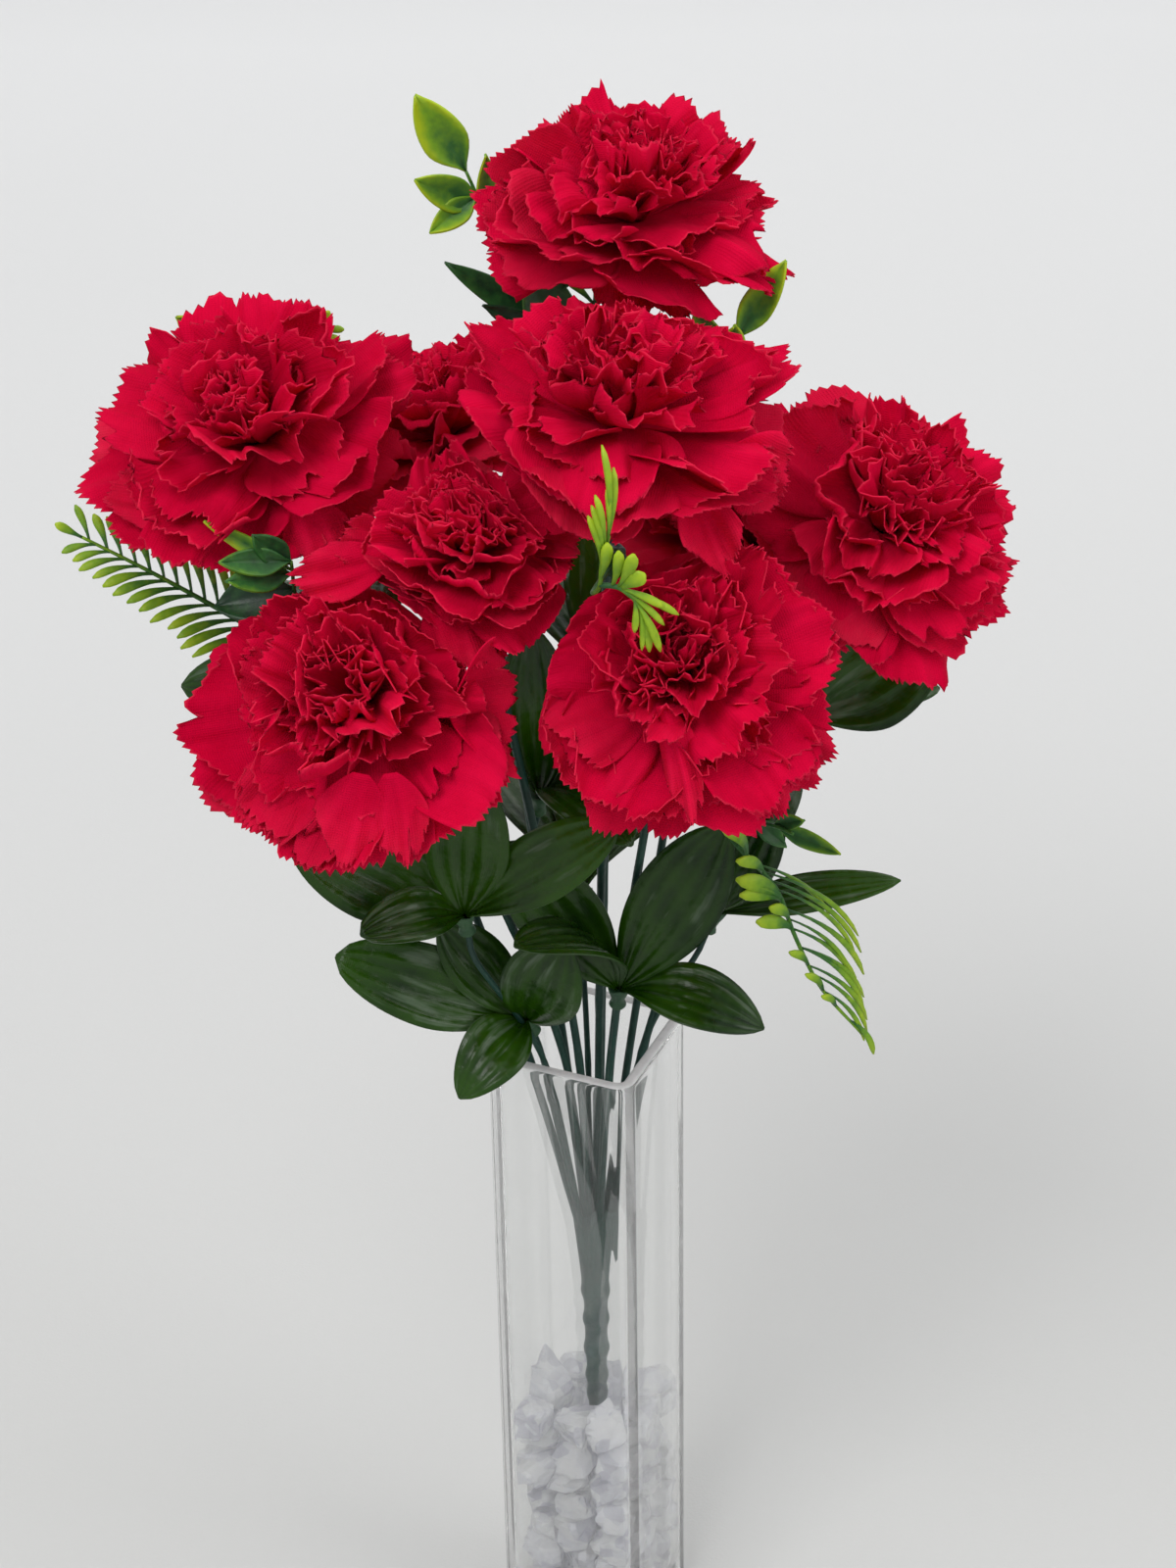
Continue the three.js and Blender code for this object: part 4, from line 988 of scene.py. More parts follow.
def about(axis, angle):
    """The matrix of a turn about an axis by an angle: the axis keeps its place, and what is
    square to it turns."""
    x, y, z = unit(axis)
    cross = np.array([[0, -z, y], [z, 0, -x], [-y, x, 0]])
    return np.eye(3) + math.sin(angle) * cross + (1 - math.cos(angle)) * cross @ cross


def nudged(line, turn):
    """A line, or an array of lines, raised by a lift about the level across the first and swung
    about Z, in degrees."""
    lift, swing = np.radians(turn)
    first = np.atleast_2d(line)[-1]
    level = [-first[1], first[0], 0]
    return np.asarray(line) @ about(level, -lift).T @ about([0, 0, 1], swing).T


def whorl_axis(name):
    """The middle direction of a whorl: the mean of its leaves' directions, and up."""
    foot, leaves = WHORLS[name]
    mean = unit(np.array([leaf[0] for leaf in leaves], float) - foot).mean(axis=0)
    return unit(unit(mean) + [0, 0, 1])


COLLARS = {name: (np.array(foot, float), whorl_axis(name)) for name, (foot, _) in WHORLS.items()}
for prefix, branches in (("fern_", FRONDS), ("sprig_", SPRIGS)):
    for name, line in branches.items():
        start = np.array(line[0], float)
        way = unit(line[1] - start)
        COLLARS[prefix + name] = (start - 0.7 * COLLAR_LENGTH * way, way)
print(len(COLLARS), "collars")

# %% [markdown]
# ## Where the twigs fork off
# A twig leaves the nearest long stem, a little under its own collar, and bends out to it. The
# whorls low in the bush, those whose collars stand lower than LOW_WHORL, have long stems of their own.

# %% Twigs
# The steps of a long stem where a twig may fork off, and how far below its collar it should.
FORK_STEPS, FORK_DROP, FORK_COST = slice(12, 38), 12, 3
LOW_WHORL = 345


def twig_stations(foot, axis):
    """A fork on the nearest long stem, a point just above it, one under the collar and the end.

    The fork is the point whose distance from the foot is least, with a cost for each millimetre
    by which it lies less than the drop below it."""
    ways = BLOOM_WAYS.values()
    spots = np.concatenate([way[FORK_STEPS] for way in ways])
    tangents = np.concatenate([unit(np.gradient(way, axis=0))[FORK_STEPS] for way in ways])
    short = np.maximum(FORK_DROP - (foot[2] - spots[:, 2]), 0)
    cost = np.linalg.norm(spots - foot, axis=1) + FORK_COST * short
    best = cost.argmin()
    end = foot - PEG * axis
    return np.array([spots[best], spots[best] + 5 * tangents[best], end - 4 * axis, end])


def swelling(run, places, size, width):
    """A bell-shaped swelling of a rod: 1 plus the size times the bell of the distance to a place,
    in its width, summed over the places."""
    return 1 + size * np.exp(-((run[:, None] - np.asarray(places)) / width) ** 2).sum(axis=1)


# %% The trunk, the stems and the twigs in one moulding
TRUNK_STATIONS, TRUNK_SIDES, THIN_RADIUS, THICKER = 70, 36, 2.9, 0.9
KNOB_HEIGHTS, KNOB_SIZE, KNOB_WIDTH = (104, 112, 124, 137, 149), 0.22, 2.6
FLARE_START, GROOVE_START, GROOVES, GROOVE_DEPTH = 138, 145, 4.5, 0.3
RUN_IN = 30
ROUNDED_TOP = [0.97, 0.85, 0.55]
# Where the knots of the stems and twigs lie along them, and how far those of the next stem are moved.
STEM_KNOTS, TWIG_KNOTS, KNOT_STEP = np.array([70, 125, 188, 246]), [22, 60], 13


def trunk_shape():
    """A knobbly rod that gets thicker over its first stretch and flares to the fork's radius. Near
    the fork grooves run up it, as deep as the square of the cosine of some turns of the angle."""
    height = np.linspace(TRUNK_FOOT, TRUNK_FORK + 2, TRUNK_STATIONS)
    flare = np.clip((height - FLARE_START) / (TRUNK_FORK - FLARE_START), 0, 1) ** 1.3
    radius = THIN_RADIUS + THICKER * np.clip((height - TRUNK_FOOT) / RUN_IN, 0, 1)
    radius = radius * swelling(height, KNOB_HEIGHTS, KNOB_SIZE, KNOB_WIDTH)
    radius = radius * (1 - flare) + FORK_RADIUS * flare
    radius[-len(ROUNDED_TOP):] *= ROUNDED_TOP
    line = np.stack([np.full(TRUNK_STATIONS, TRUNK_X), np.zeros(TRUNK_STATIONS), height], -1)
    points, walls, lids = rod(line, radius, TRUNK_SIDES)
    spread = points[:, :2] - [TRUNK_X, 0]
    turn = np.arctan2(spread[:, 1], spread[:, 0])
    depth = GROOVE_DEPTH * np.clip((points[:, 2] - GROOVE_START) / RUN_IN, 0, 1)
    spread = spread * (1 - depth * np.cos(GROOVES * turn) ** 2)[:, None]
    points[:, :2] = [TRUNK_X, 0] + spread
    return points, walls, lids


stems = Heap(cloth=False)
stems.add_tube(trunk_shape())
for place, (name, way) in enumerate(BLOOM_WAYS.items()):
    foot, axis = BLOOM_FEET[name]
    line = np.concatenate([way, [foot + 2 * axis, foot + 7 * axis]])
    knots = STEM_KNOTS + KNOT_STEP * (place % 3)
    stems.add_tube(rod(line, STEM_RADIUS * swelling(run_along(line), knots, 0.35, 2.2), 12))
for name, (foot, axis) in COLLARS.items():
    own = name in WHORLS and foot[2] < LOW_WHORL
    stations = stem_stations(foot, axis) if own else twig_stations(foot, axis)
    line = np.concatenate([smooth_line(stations, TWIG_STEPS), [foot + 4.4 * axis]])
    stems.add_tube(rod(line, TWIG_RADIUS * swelling(run_along(line), TWIG_KNOTS, 0.3, 1.8), 10))
trunk_and_stems = stems.piece("moulded_stems", ["trunk_and_stems"])

# %% [markdown]
# ## Calyxes and collars
# A calyx is the green cup that holds the foot of the petals, with five blunt teeth round its rim.
# A collar is a small funnel that sits on its peg like a bead. Both are turned shapes: a profile of
# radius and height is carried round the axis, and the teeth come from moving the rim up and down
# with the angle.

# %% Turned shapes
def turned_shape(profile, sides, foot, axis, teeth, bite):
    """A profile of (radius, height) carried round the axis from a foot. Its upper two fifths rise
    and fall by the bite, with as many teeth as asked."""
    profile = np.asarray(profile, float)
    angle = np.linspace(0, 2 * np.pi, sides, endpoint=False)
    late = np.clip((profile[:, 1:] / profile[:, 1].max() - 0.6) / 0.4, 0, 1)
    lift = bite * late * np.cos(teeth * angle)
    ring = np.stack([np.cos(angle), np.sin(angle)], -1)
    level = np.broadcast_to(profile[:, 1:] + lift, (len(profile), sides))
    points = np.concatenate([profile[:, :1, None] * ring, level[..., None]], -1)
    return closed_rings(points @ turned_to(axis).T + foot)


CALYX_PROFILE = [
    [1.9, 0.2], [3.4, 0.6], [4.2, 1.6], [3.2, 2.9], [3.1, 4.2], [4.4, 6.0], [5.8, 9.0], [6.7, 13.0],
    [7.2, 17.0], [7.8, 20.5], [8.2, 22.4], [7.9, 22.8], [7.2, 21.4], [6.6, 19.6], [3.0, 19.4],
]
COLLAR_PROFILE = [
    [1.5, -0.4], [2.3, -0.1], [2.8, 0.7], [2.5, 1.6], [2.1, 2.3], [2.2, 3.4], [2.6, 4.8], [3.2, 6.4],
    [3.7, 8.2], [3.6, 8.9], [3.1, 8.6], [2.6, 7.6], [1.0, 7.4],
]
calyxes = Heap(cloth=False)
for foot, axis in BLOOM_FEET.values():
    calyxes.add_tube(turned_shape(CALYX_PROFILE, 40, foot, axis, teeth=5, bite=1.1))
calyx_names = ["calyx_" + name for name in BLOOMS]
calyx_piece = calyxes.piece("calyx_cups", calyx_names)
collars = Heap(cloth=False)
for foot, axis in COLLARS.values():
    collars.add_tube(turned_shape(COLLAR_PROFILE, 20, foot, axis, teeth=4, bite=0.5))
collar_piece = collars.piece("leaf_collars")

# %% [markdown]
# ## Cloth leaves
# The leaves are cut from stiffened cloth and pressed hot, which leaves about five ribs that run
# side by side from foot to tip. Because a grid line at a constant place across the leaf meets the
# others at both ends, a wave across the grid gives just such ribs.

# %% Leaves
LEAF_THICKNESS, RIB_HEIGHT, RIBS = 0.5, 0.6, 2.5
LEAF_COLUMNS, LEAF_ROWS = 42, 24
COLLAR_DEPTH = 6.5
# Half the width of a leaf on its cloth in millimetres. It is the same for every leaf, so that all
# have the same number of ribs.
LEAF_SPAN = 10
# A leaf's rim number is 1 on its underside and 0 on its upper side. The first face of its sheet
# looks down, and the step takes the number from there to the second face.
UNDERSIDE, STEP_TO_UPPER = 1.0, -1.0


def leaf_sheet(root, tip, width, arch, facing, roll):
    """The middle surface of a leaf: a blade whose halves rise from the midrib, most near its foot,
    where it is a channel. Ribs stand up as narrow waves across it, its edges sway slowly, and its
    last part curls down with the cube of the distance."""
    across, along = shares(LEAF_COLUMNS, LEAF_ROWS)
    front = [0, -facing, 1 - facing / 2]
    middle, level, over = laid(root, tip, front, arch, along)
    half = width / 2 * blade_outline(along, roll.uniform(0.5, 0.6), roll.uniform(0.5, 0.75))
    rise = (0.14 + 0.7 * (1 - along) ** 4) * half * np.abs(across)
    sway = 0.05 * width * np.sin(5 * along + FULL_TURN * roll.random()) * across
    sway = sway * np.sin(np.pi * along)
    ribs = RIB_HEIGHT * np.abs(np.cos(np.pi * RIBS * across)) ** 3 * np.sin(np.pi * along) ** 0.5
    ribs = ribs * (0.7 + 0.3 * np.sin(6 * across + 4 * along))
    curl = -roll.uniform(0.02, 0.12) * width * along**3 - 0.12 * half * across**2 * along
    rise = rise + sway + ribs + curl
    middle = middle + (half * across)[..., None] * level + rise[..., None] * over
    return middle, LEAF_SPAN * across, along * np.linalg.norm(np.subtract(tip, root))


def make_whorl(name, seed):
    """The leaves of a whorl in one mesh, each from the crown of its collar."""
    foot, leaves = WHORLS[name]
    foot = np.array(foot, float)
    crown = foot + COLLAR_DEPTH * COLLARS[name][1]
    roll = np.random.default_rng(seed)
    heap = Heap()
    for number, (tip, width, arch, facing) in enumerate(leaves):
        line = np.array(tip, float) - crown
        line = nudged(line, NUDGES.get((name, number), (0, 0))).ravel()
        middle, across, along = leaf_sheet(crown, crown + line, width, arch, facing, roll)
        heap.add_sheet(middle, LEAF_THICKNESS, across, along, UNDERSIDE, STEP_TO_UPPER)
    return heap.piece("whorl_" + name, ["leaves_" + name])


leaf_pieces = [make_whorl(name, 301 + place) for place, name in enumerate(WHORLS)]

# %% [markdown]
# ## Ferns
# The fronds are injection moulded: a round rib with narrow leaflets on both sides, darker where
# the plastic is thick. The leaflets get shorter towards both ends and sweep forwards. Each is a
# small curved blade with only a few faces, since there are hundreds of them.

# %% Leaflets
LEAFLET_COLUMNS, LEAFLET_ROWS, PLASTIC = 2, 9, 0.6
RIB_SIDES, RIB_STEPS = 8, 60


def leaflet(start, tip, bend, width, side, outward, club):
    """A leaflet: a line from start to tip that bulges by the bend times four along times (1 -
    along), a half width that stays narrow like a stalk as far as the club says and then follows a
    blunt arc, and edges that rise a little."""
    across, along = (share[..., None] for share in shares(LEAFLET_COLUMNS, LEAFLET_ROWS))
    swell = np.clip((along - club + 0.35) / 0.7, 0, 1)
    tip_arc = np.sqrt(np.clip(1 - (np.clip(along - 0.72, 0, 1) / 0.285) ** 2, 0, 1))
    half = width / 2 * np.maximum((0.3 + 0.7 * np.sin(np.pi / 2 * swell) ** 2) * tip_arc, 0.12)
    line = start + (tip - start) * along + 4 * along * (1 - along) * np.asarray(bend, float)
    return line + across * half * side + 0.3 * half * np.abs(across) * outward


def add_leaflet(heap, start, tip, bend, width, face, club=0.4, tint=(0.1, 1.0)):
    """Adds a leaflet that faces a direction, with a tint that runs from its foot to its tip."""
    start, tip = np.asarray(start, float), np.asarray(tip, float)
    side = unit(np.cross(face, tip - start))
    outward = np.cross(unit(tip - start), side)
    middle = leaflet(start, tip, bend, width, side, outward, club)
    _, along = shares(LEAFLET_COLUMNS, LEAFLET_ROWS)
    shade = tint[0] + (tint[1] - tint[0]) * along
    heap.add_sheet(middle, PLASTIC, 0.0, along * np.linalg.norm(tip - start), shade)


def add_rib(heap, line, thick, thin, tint):
    """Adds a round rib that gets thinner, with a tint that runs along it."""
    run = np.linspace(0, 1, len(line))
    shades = np.repeat(tint[0] + (tint[1] - tint[0]) * run, RIB_SIDES)
    heap.add_tube(rod(line, thick + (thin - thick) * run, RIB_SIDES), np.append(shades, tint))


# %% Fronds
# How a frond's leaflets grow, for both hands of its rib: their lengths at the rib's root and at its
# tip, their sweep towards its tip, their width, how far their middles bulge, as a part of their
# length, and the direction the frond faces.
FROND_LOOKS = {
    "left": dict(pairs=13, lengths=((24, 11), (20, 11)), sweep=(1.2, 0.8), width=(2.8, 2.6),
                 bulge=([0, 0, 0.08], [0.04, 0, 0]), face=[0, -1, 0.9]),
    "behind_left": dict(pairs=10, lengths=((15, 8), (15, 8)), sweep=(0.9, 0.9), width=(2.6, 2.6),
                        bulge=([0, 0, 0.06], [0, 0, 0.06]), face=[0, -1, 0.4]),
    "behind_top": dict(pairs=10, lengths=((14, 7), (14, 7)), sweep=(0.9, 0.9), width=(2.6, 2.6),
                       bulge=([0, 0, 0.06], [0, 0, 0.06]), face=[0, -1, 0.3]),
}
# Two fronds are bent, so their leaflets are placed one by one: foot, tip, width. The right one has
# long leaflets that trail down on one side and short curled ones on the other.
RIGHT_RIBS = [
    [[31, -34, 369], [46, -52, 356], [57, -58, 345], [63, -60, 329], [71, -61, 311], [84, -60, 293]],
]
RIGHT_LEAFLETS = [
    ([52, -60, 358], [74, -50, 330], 1.4), ([55, -60, 353], [83, -50, 322], 1.5),
    ([57, -60, 348], [84, -50, 316], 1.6), ([59, -60, 344], [82, -52, 317], 1.4),
    ([60, -60, 339], [85, -50, 308], 1.8), ([61, -60, 335], [81, -54, 310], 1.4),
    ([62, -60, 331], [83, -52, 305], 1.8), ([64, -60, 326], [85, -52, 301], 1.6),
    ([65, -60, 324], [85, -54, 298], 1.6), ([67, -60, 319], [86, -54, 294], 1.6),
    ([69, -60, 316], [86, -56, 291], 1.5), ([71, -60, 311], [85, -58, 289], 1.4),
    ([50, -60, 361], [41, -66, 370], 3.8), ([48, -60, 363], [45, -66, 375], 3.2),
    ([54, -60, 353], [45, -67, 360], 3.8), ([59, -60, 341], [45, -66, 353], 5.2),
    ([58, -60, 340], [46, -67, 348], 4.2), ([62, -60, 331], [51, -66, 338], 4.4),
    ([60, -60, 333], [55, -66, 343], 3.6), ([65, -60, 318], [61, -66, 327], 2.6),
    ([70, -60, 310], [66, -66, 319], 2.4), ([74, -60, 303], [71, -66, 311], 2.2),
    ([80, -60, 297], [88, -58, 284], 2.0),
]
MIDDLE_RIBS = [
    [[10, -60, 455], [4, -90, 461], [6, -105, 471], [6.5, -108, 479], [8.5, -108, 487]],
    [[6, -105, 471], [11, -107, 471], [14, -108, 469], [17, -108, 466]],
]
MIDDLE_LEAFLETS = [
    ([8, -108, 486], [7, -107, 513], 1.8), ([9, -108, 485], [10, -106, 506], 1.9),
    ([7, -108, 484], [8, -109, 501], 1.4), ([7, -108, 483], [5, -110, 500], 1.8),
    ([7, -108, 481], [4, -110, 497], 1.8), ([6, -108, 479], [3, -110, 494], 1.9),
    ([7, -107, 473], [8, -110, 486], 3.2), ([9, -107, 472], [11, -111, 484], 3.0),
    ([11, -107, 472], [15, -111, 483], 3.6), ([12, -107, 472], [18, -111, 477], 4.2),
    ([12, -107, 472], [27, -106, 462], 2.0), ([13, -107, 471], [23, -108, 460], 1.8),
    ([11, -107, 471], [23, -109, 466], 2.2), ([15, -108, 469], [22, -108, 452], 2.2),
    ([15, -108, 469], [21, -109, 454], 1.4), ([16, -108, 467], [19, -108, 452], 2.2),
    ([16, -108, 467], [17, -109, 453], 1.4), ([15, -108, 468], [15, -110, 459], 1.8),
]


def make_frond(name, seed):
    """A rib with leaflets along both hands in one mesh. The rim number runs from 0 near the rib to
    1 at the tips, and the material turns it into the change from dark to yellow green."""
    look = FROND_LOOKS[name]
    roll = np.random.default_rng(seed)
    line = smooth_line(FRONDS[name], RIB_STEPS)
    tangent = unit(np.gradient(line, axis=0))
    heap = Heap()
    add_rib(heap, line, 1.0, 0.5, (0.05, 0.6))
    for place in range(look["pairs"]):
        share = (place + 0.5) / look["pairs"]
        for hand in (0, 1):
            spot = int(round((0.1 + 0.88 * (share + 0.03 * (hand - 0.5))) * RIB_STEPS))
            side = unit(np.cross(tangent[spot], look["face"]))
            first, last = look["lengths"][hand]
            length = (first + (last - first) * share) * roll.uniform(0.9, 1.06)
            way = unit((2 * hand - 1) * side + (look["sweep"][hand] + 0.2 * share) * tangent[spot])
            bulge = length * np.array(look["bulge"][hand])
            width = look["width"][hand] * roll.uniform(0.85, 1.1)
            tint = (0.02 + 0.2 * share, 0.75 + 0.25 * roll.random())
            tip = line[spot] + length * way - bulge
            add_leaflet(heap, line[spot], tip, bulge, width, look["face"], 0.45, tint)
    end = line[-1] + 0.8 * look["lengths"][0][1] * tangent[-1]
    add_leaflet(heap, line[-1], end, [0, 0, 0], 2.6, look["face"])
    return heap.piece("frond_" + name, ["fern_" + name])


def make_bent_frond(name, ribs, leaflets, bulge, face, tint):
    """A bent frond, from the lines of its ribs and its table of leaflets. Each leaflet bulges by
    the bulge times its length, and starts from the point of the ribs nearest to its foot."""
    heap = Heap()
    lines = [smooth_line(points, 30) for points in ribs]
    spots = np.concatenate(lines)
    for line in lines:
        add_rib(heap, line, 0.9, 0.5, (0.05, 0.6))
    for start, tip, width in leaflets:
        start = nearest(spots, start)
        aside = np.linalg.norm(np.subtract(tip, start)) * np.array(bulge)
        add_leaflet(heap, start, tip, aside, width, face, 0.35, tint)
    return heap.piece("frond_" + name, ["fern_" + name])


# Each bent frond: its ribs, its leaflets, their bulge, the way they face, and their tint.
BENT_FRONDS = {
    "right": (RIGHT_RIBS, RIGHT_LEAFLETS, [0.08, -0.06, 0.1], [0.3, -1, 0.4], (0.15, 0.95)),
    "middle": (MIDDLE_RIBS, MIDDLE_LEAFLETS, [0.04, -0.1, 0.07], [0.2, -1, 0.5], (0.45, 0.95)),
}
fern_pieces = [make_frond(name, 401 + place) for place, name in enumerate(FROND_LOOKS)]
fern_pieces += [make_bent_frond(name, *look) for name, look in BENT_FRONDS.items()]

# %% [markdown]
# ## Sprigs
# A sprig is a thin stalk with small pointed leaves like those of box or myrtle, each with a pale
# midrib. Their places are given one by one, because only a few of them show between the heads and
# each makes a part of the outline. A leaf grows from the point of the stalk nearest to its foot.

# %% Sprigs
# Each leaf: foot, tip, width, and its tint from 0 for dark green to 1 for yellow green.
SPRIG_LEAVES = {
    "top_left": [
        ([-32, 38, 535], [-45, 36, 559], 13.5, 1.0), ([-28, 38, 523], [-46, 34, 534], 10.5, 0.8),
        ([-30, 38, 526], [-42, 30, 519], 8.0, 0.9), ([-24, 38, 516], [-25, 32, 542], 8.0, 0.8),
        ([-4, 36, 485], [-38, 34, 508], 8.5, 0.2), ([-4, 36, 482], [-14, 28, 509], 16.0, 0.3),
        ([-3, 36, 480], [-27, 30, 496], 7.5, 0.0), ([-12, 38, 497], [6, 30, 512], 9.0, 0.3),
    ],
    "top_right": [
        ([47, -3, 498], [61, -4, 522], 9.5, 0.9), ([43, -3, 485], [35, -6, 509], 9.5, 0.7),
        ([46, -3, 492], [46, -8, 504], 7.5, 0.9), ([46, -3, 489], [58, -8, 490], 7.5, 0.6),
        ([40, 0, 474], [54, -2, 482], 7.0, 0.3),
    ],
    "left": [
        ([-108, 19, 491], [-117, 18, 499], 6.5, 0.8), ([-107, 19, 489], [-104, 18, 503], 6.0, 0.9),
        ([-104, 20, 482], [-116, 16, 486], 7.0, 0.5), ([-101, 22, 472], [-110, 20, 478], 7.0, 0.4),
    ],
    "under_left": [
        ([-80, -66, 460], [-99, -76, 465], 8.0, 0.4), ([-80, -66, 455], [-97, -78, 460], 8.5, 0.4),
        ([-80, -60, 450], [-103, -60, 443], 14.0, 0.05), ([-79, -50, 426], [-62, -62, 440], 8.0, 0.3),
        ([-80, -64, 456], [-104, -62, 471], 5.0, 0.9), ([-80, -66, 458], [-90, -70, 470], 8.0, 0.2),
    ],
    "under_right": [
        ([57, -40, 355], [66, -48, 362], 5.0, 0.5), ([58, -42, 354], [77, -50, 351], 5.5, 0.6),
        ([54, -34, 354], [46, -46, 364], 6.5, 0.3), ([53, -32, 352], [62, -30, 342], 6.0, 0.3),
    ],
}
# The stalk of this one bends to the front between the heads.
SPRIG_BENDS = {"under_left": [[-75, -42, 414], [-79, -50, 428], [-80, -60, 446], [-80, -66, 460]]}
SPRIG_COLUMNS, SPRIG_ROWS = 10, 14


def sprig_leaf(root, tip, width, roll):
    """A boat-shaped leaf: a blade with a pointed tip whose halves rise with the square of across,
    with a sunk midrib shaped like a bell and a light twist."""
    across, along = shares(SPRIG_COLUMNS, SPRIG_ROWS)
    middle, level, over = laid(root, tip, [0.1 * roll.normal(), -1, 0.5], -1.0, along)
    half = width / 2 * blade_outline(along, 0.42, 0.9)
    rise = 0.35 * half * across**2 - 0.35 * np.exp(-(across / 0.12) ** 2)
    rise = rise + 0.12 * width * np.sin(3 * along + FULL_TURN * roll.random()) * across * along
    return middle + (half * across)[..., None] * level + rise[..., None] * over, across, along


def make_sprig(name, seed):
    """A stalk with its leaves in one mesh. The rim number is a leaf's tint, which grows towards
    its edge and its tip."""
    roll = np.random.default_rng(seed)
    line = smooth_line(SPRIG_BENDS.get(name, SPRIGS[name]), 40)
    heap = Heap()
    add_rib(heap, line, 0.9, 0.5, (0.0, 0.4))
    for foot, tip, width, tint in SPRIG_LEAVES[name]:
        root = nearest(line, foot)
        middle, across, along = sprig_leaf(root, tip, width, roll)
        shade = tint * (0.12 + 0.62 * along + 0.5 * across**2 + 0.1 * across)
        length = np.linalg.norm(np.subtract(tip, root))
        heap.add_sheet(middle, PLASTIC, LEAF_SPAN * across, length * along, np.clip(shade, 0, 1))
    return heap.piece("leafy_" + name, ["sprig_" + name])


sprig_pieces = [make_sprig(name, 501 + place) for place, name in enumerate(SPRIGS)]

# %% [markdown]
# ## Clear chips
# The chips are broken lumps of clear acrylic that pack closely in the foot of the vase. A close
# packing of lumps is what a foam of cells looks like: every point belongs to the nearest centre,
# and the walls are planes halfway between two centres. Seen from its own centre such a cell is
# easy to write down: in each direction its surface is at the nearest of those planes. A few more
# planes of its own, at random, break each cell into shards, and its faces stay flat and bright.

# %% Chips
INNER_HALF = VASE_SIDE / 2 - VASE_WALL
CHIPS_TOP, FLOOR_TOP = 104, 10
CHIP_ROW, CHIP_LEVELS, LEVEL_RISE, CHIP_STRAY = (-14, 0, 14), 8, 12.2, (3.6, 3.6, 4.2)
OWN_PLANES, OWN_LIMITS, PLANE_GAP, WALL_GAP, SHARPNESS = 10, (5.0, 8.0), 0.15, 0.4, 70
FIRST_LEVEL, SIDE_ROOM, FLOOR_ROOM, TOP_ROOM = 6.5, 5, 4, 5
TRUNK_ROOM, TRUNK_DEPTH = 9, 90
RINGS, SPOKES = 15, 20
VASE_WAYS = [[1, 0, 0], [-1, 0, 0], [0, 1, 0], [0, -1, 0], [0, 0, -1]]


def chip_centres(roll):
    """Centres of the chips in the vase's own frame: a grid of rows and levels, each centre moved
    at random and kept inside the vase."""
    levels = FLOOR_TOP + FIRST_LEVEL + LEVEL_RISE * np.arange(CHIP_LEVELS)
    x, y, z = np.meshgrid(CHIP_ROW, CHIP_ROW, levels, indexing="ij")
    centres = np.stack([x, y, z], -1).reshape(-1, 3).astype(float)
    centres += roll.uniform(-1, 1, centres.shape) * CHIP_STRAY
    centres[:, :2] = np.clip(centres[:, :2], SIDE_ROOM - INNER_HALF, INNER_HALF - SIDE_ROOM)
    centres[:, 2] = np.clip(centres[:, 2], FLOOR_TOP + FLOOR_ROOM, CHIPS_TOP - TOP_ROOM)
    return centres


def chip_ways():
    """The directions from a chip's centre: rings of the polar angle and spokes round about."""
    polar = np.linspace(0, np.pi, RINGS)[1:-1, None]
    round_about = np.linspace(0, 2 * np.pi, SPOKES, endpoint=False)[None, :]
    return np.stack([
        np.sin(polar) * np.cos(round_about),
        np.sin(polar) * np.sin(round_about),
        np.cos(polar) * np.ones_like(round_about),
    ], -1)


def make_chips(seed):
    """One mesh of all the chips. The radius in a direction is the power mean, with a high negative
    power, of the distances to the planes: those halfway to each neighbour, drawn in by a gap, the
    vase's walls and floor, and the chip's own. No chip stands in the way of the trunk."""
    roll = np.random.default_rng(seed)
    centres = chip_centres(roll)
    trunk = (ABOUT_Z @ [TRUNK_X, 0, 0])[:2]
    near_trunk = np.linalg.norm(centres[:, :2] - trunk, axis=1) < TRUNK_ROOM
    centres = centres[~(near_trunk & (centres[:, 2] > TRUNK_DEPTH))]
    ways = chip_ways()
    chips = Heap(cloth=False)
    for place, centre in enumerate(centres):
        lines = np.delete(centres, place, axis=0) - centre
        lengths = np.linalg.norm(lines, axis=1)
        own = unit(roll.normal(size=(OWN_PLANES, 3)))
        normals = np.concatenate([lines / lengths[:, None], own, VASE_WAYS])
        walls = np.array([
            INNER_HALF - centre[0], INNER_HALF + centre[0], INNER_HALF - centre[1],
            INNER_HALF + centre[1], centre[2] - FLOOR_TOP,
        ])
        limits = np.concatenate([
            lengths / 2 - PLANE_GAP, roll.uniform(*OWN_LIMITS, OWN_PLANES), walls - WALL_GAP,
        ])
        facing = np.maximum(ways @ normals.T, 1e-3) / limits
        radius = (facing**SHARPNESS).sum(-1) ** (-1 / SHARPNESS)
        points = (centre + radius[..., None] * ways)[::-1]
        chips.add_tube(closed_rings(points @ ABOUT_Z))
    return chips.piece("acrylic_chips", ["ice_chips"], flat_blocks=(0, 1))


chip_piece = make_chips(601)

# %% [markdown]
# ## The vase
# A square tube of clear glass with a thick floor. One closed surface covers it: a profile that
# runs from the middle of the foot up the outside, over the rounded rim, down the inside and back
# to the middle, carried round a square with rounded corners.

# %% Vase
VASE_CORNER, CORNER_POINTS = 6.0, 9
SIDE_SHARES = np.array([0.97, 0.5, 0, -0.5, -0.97])


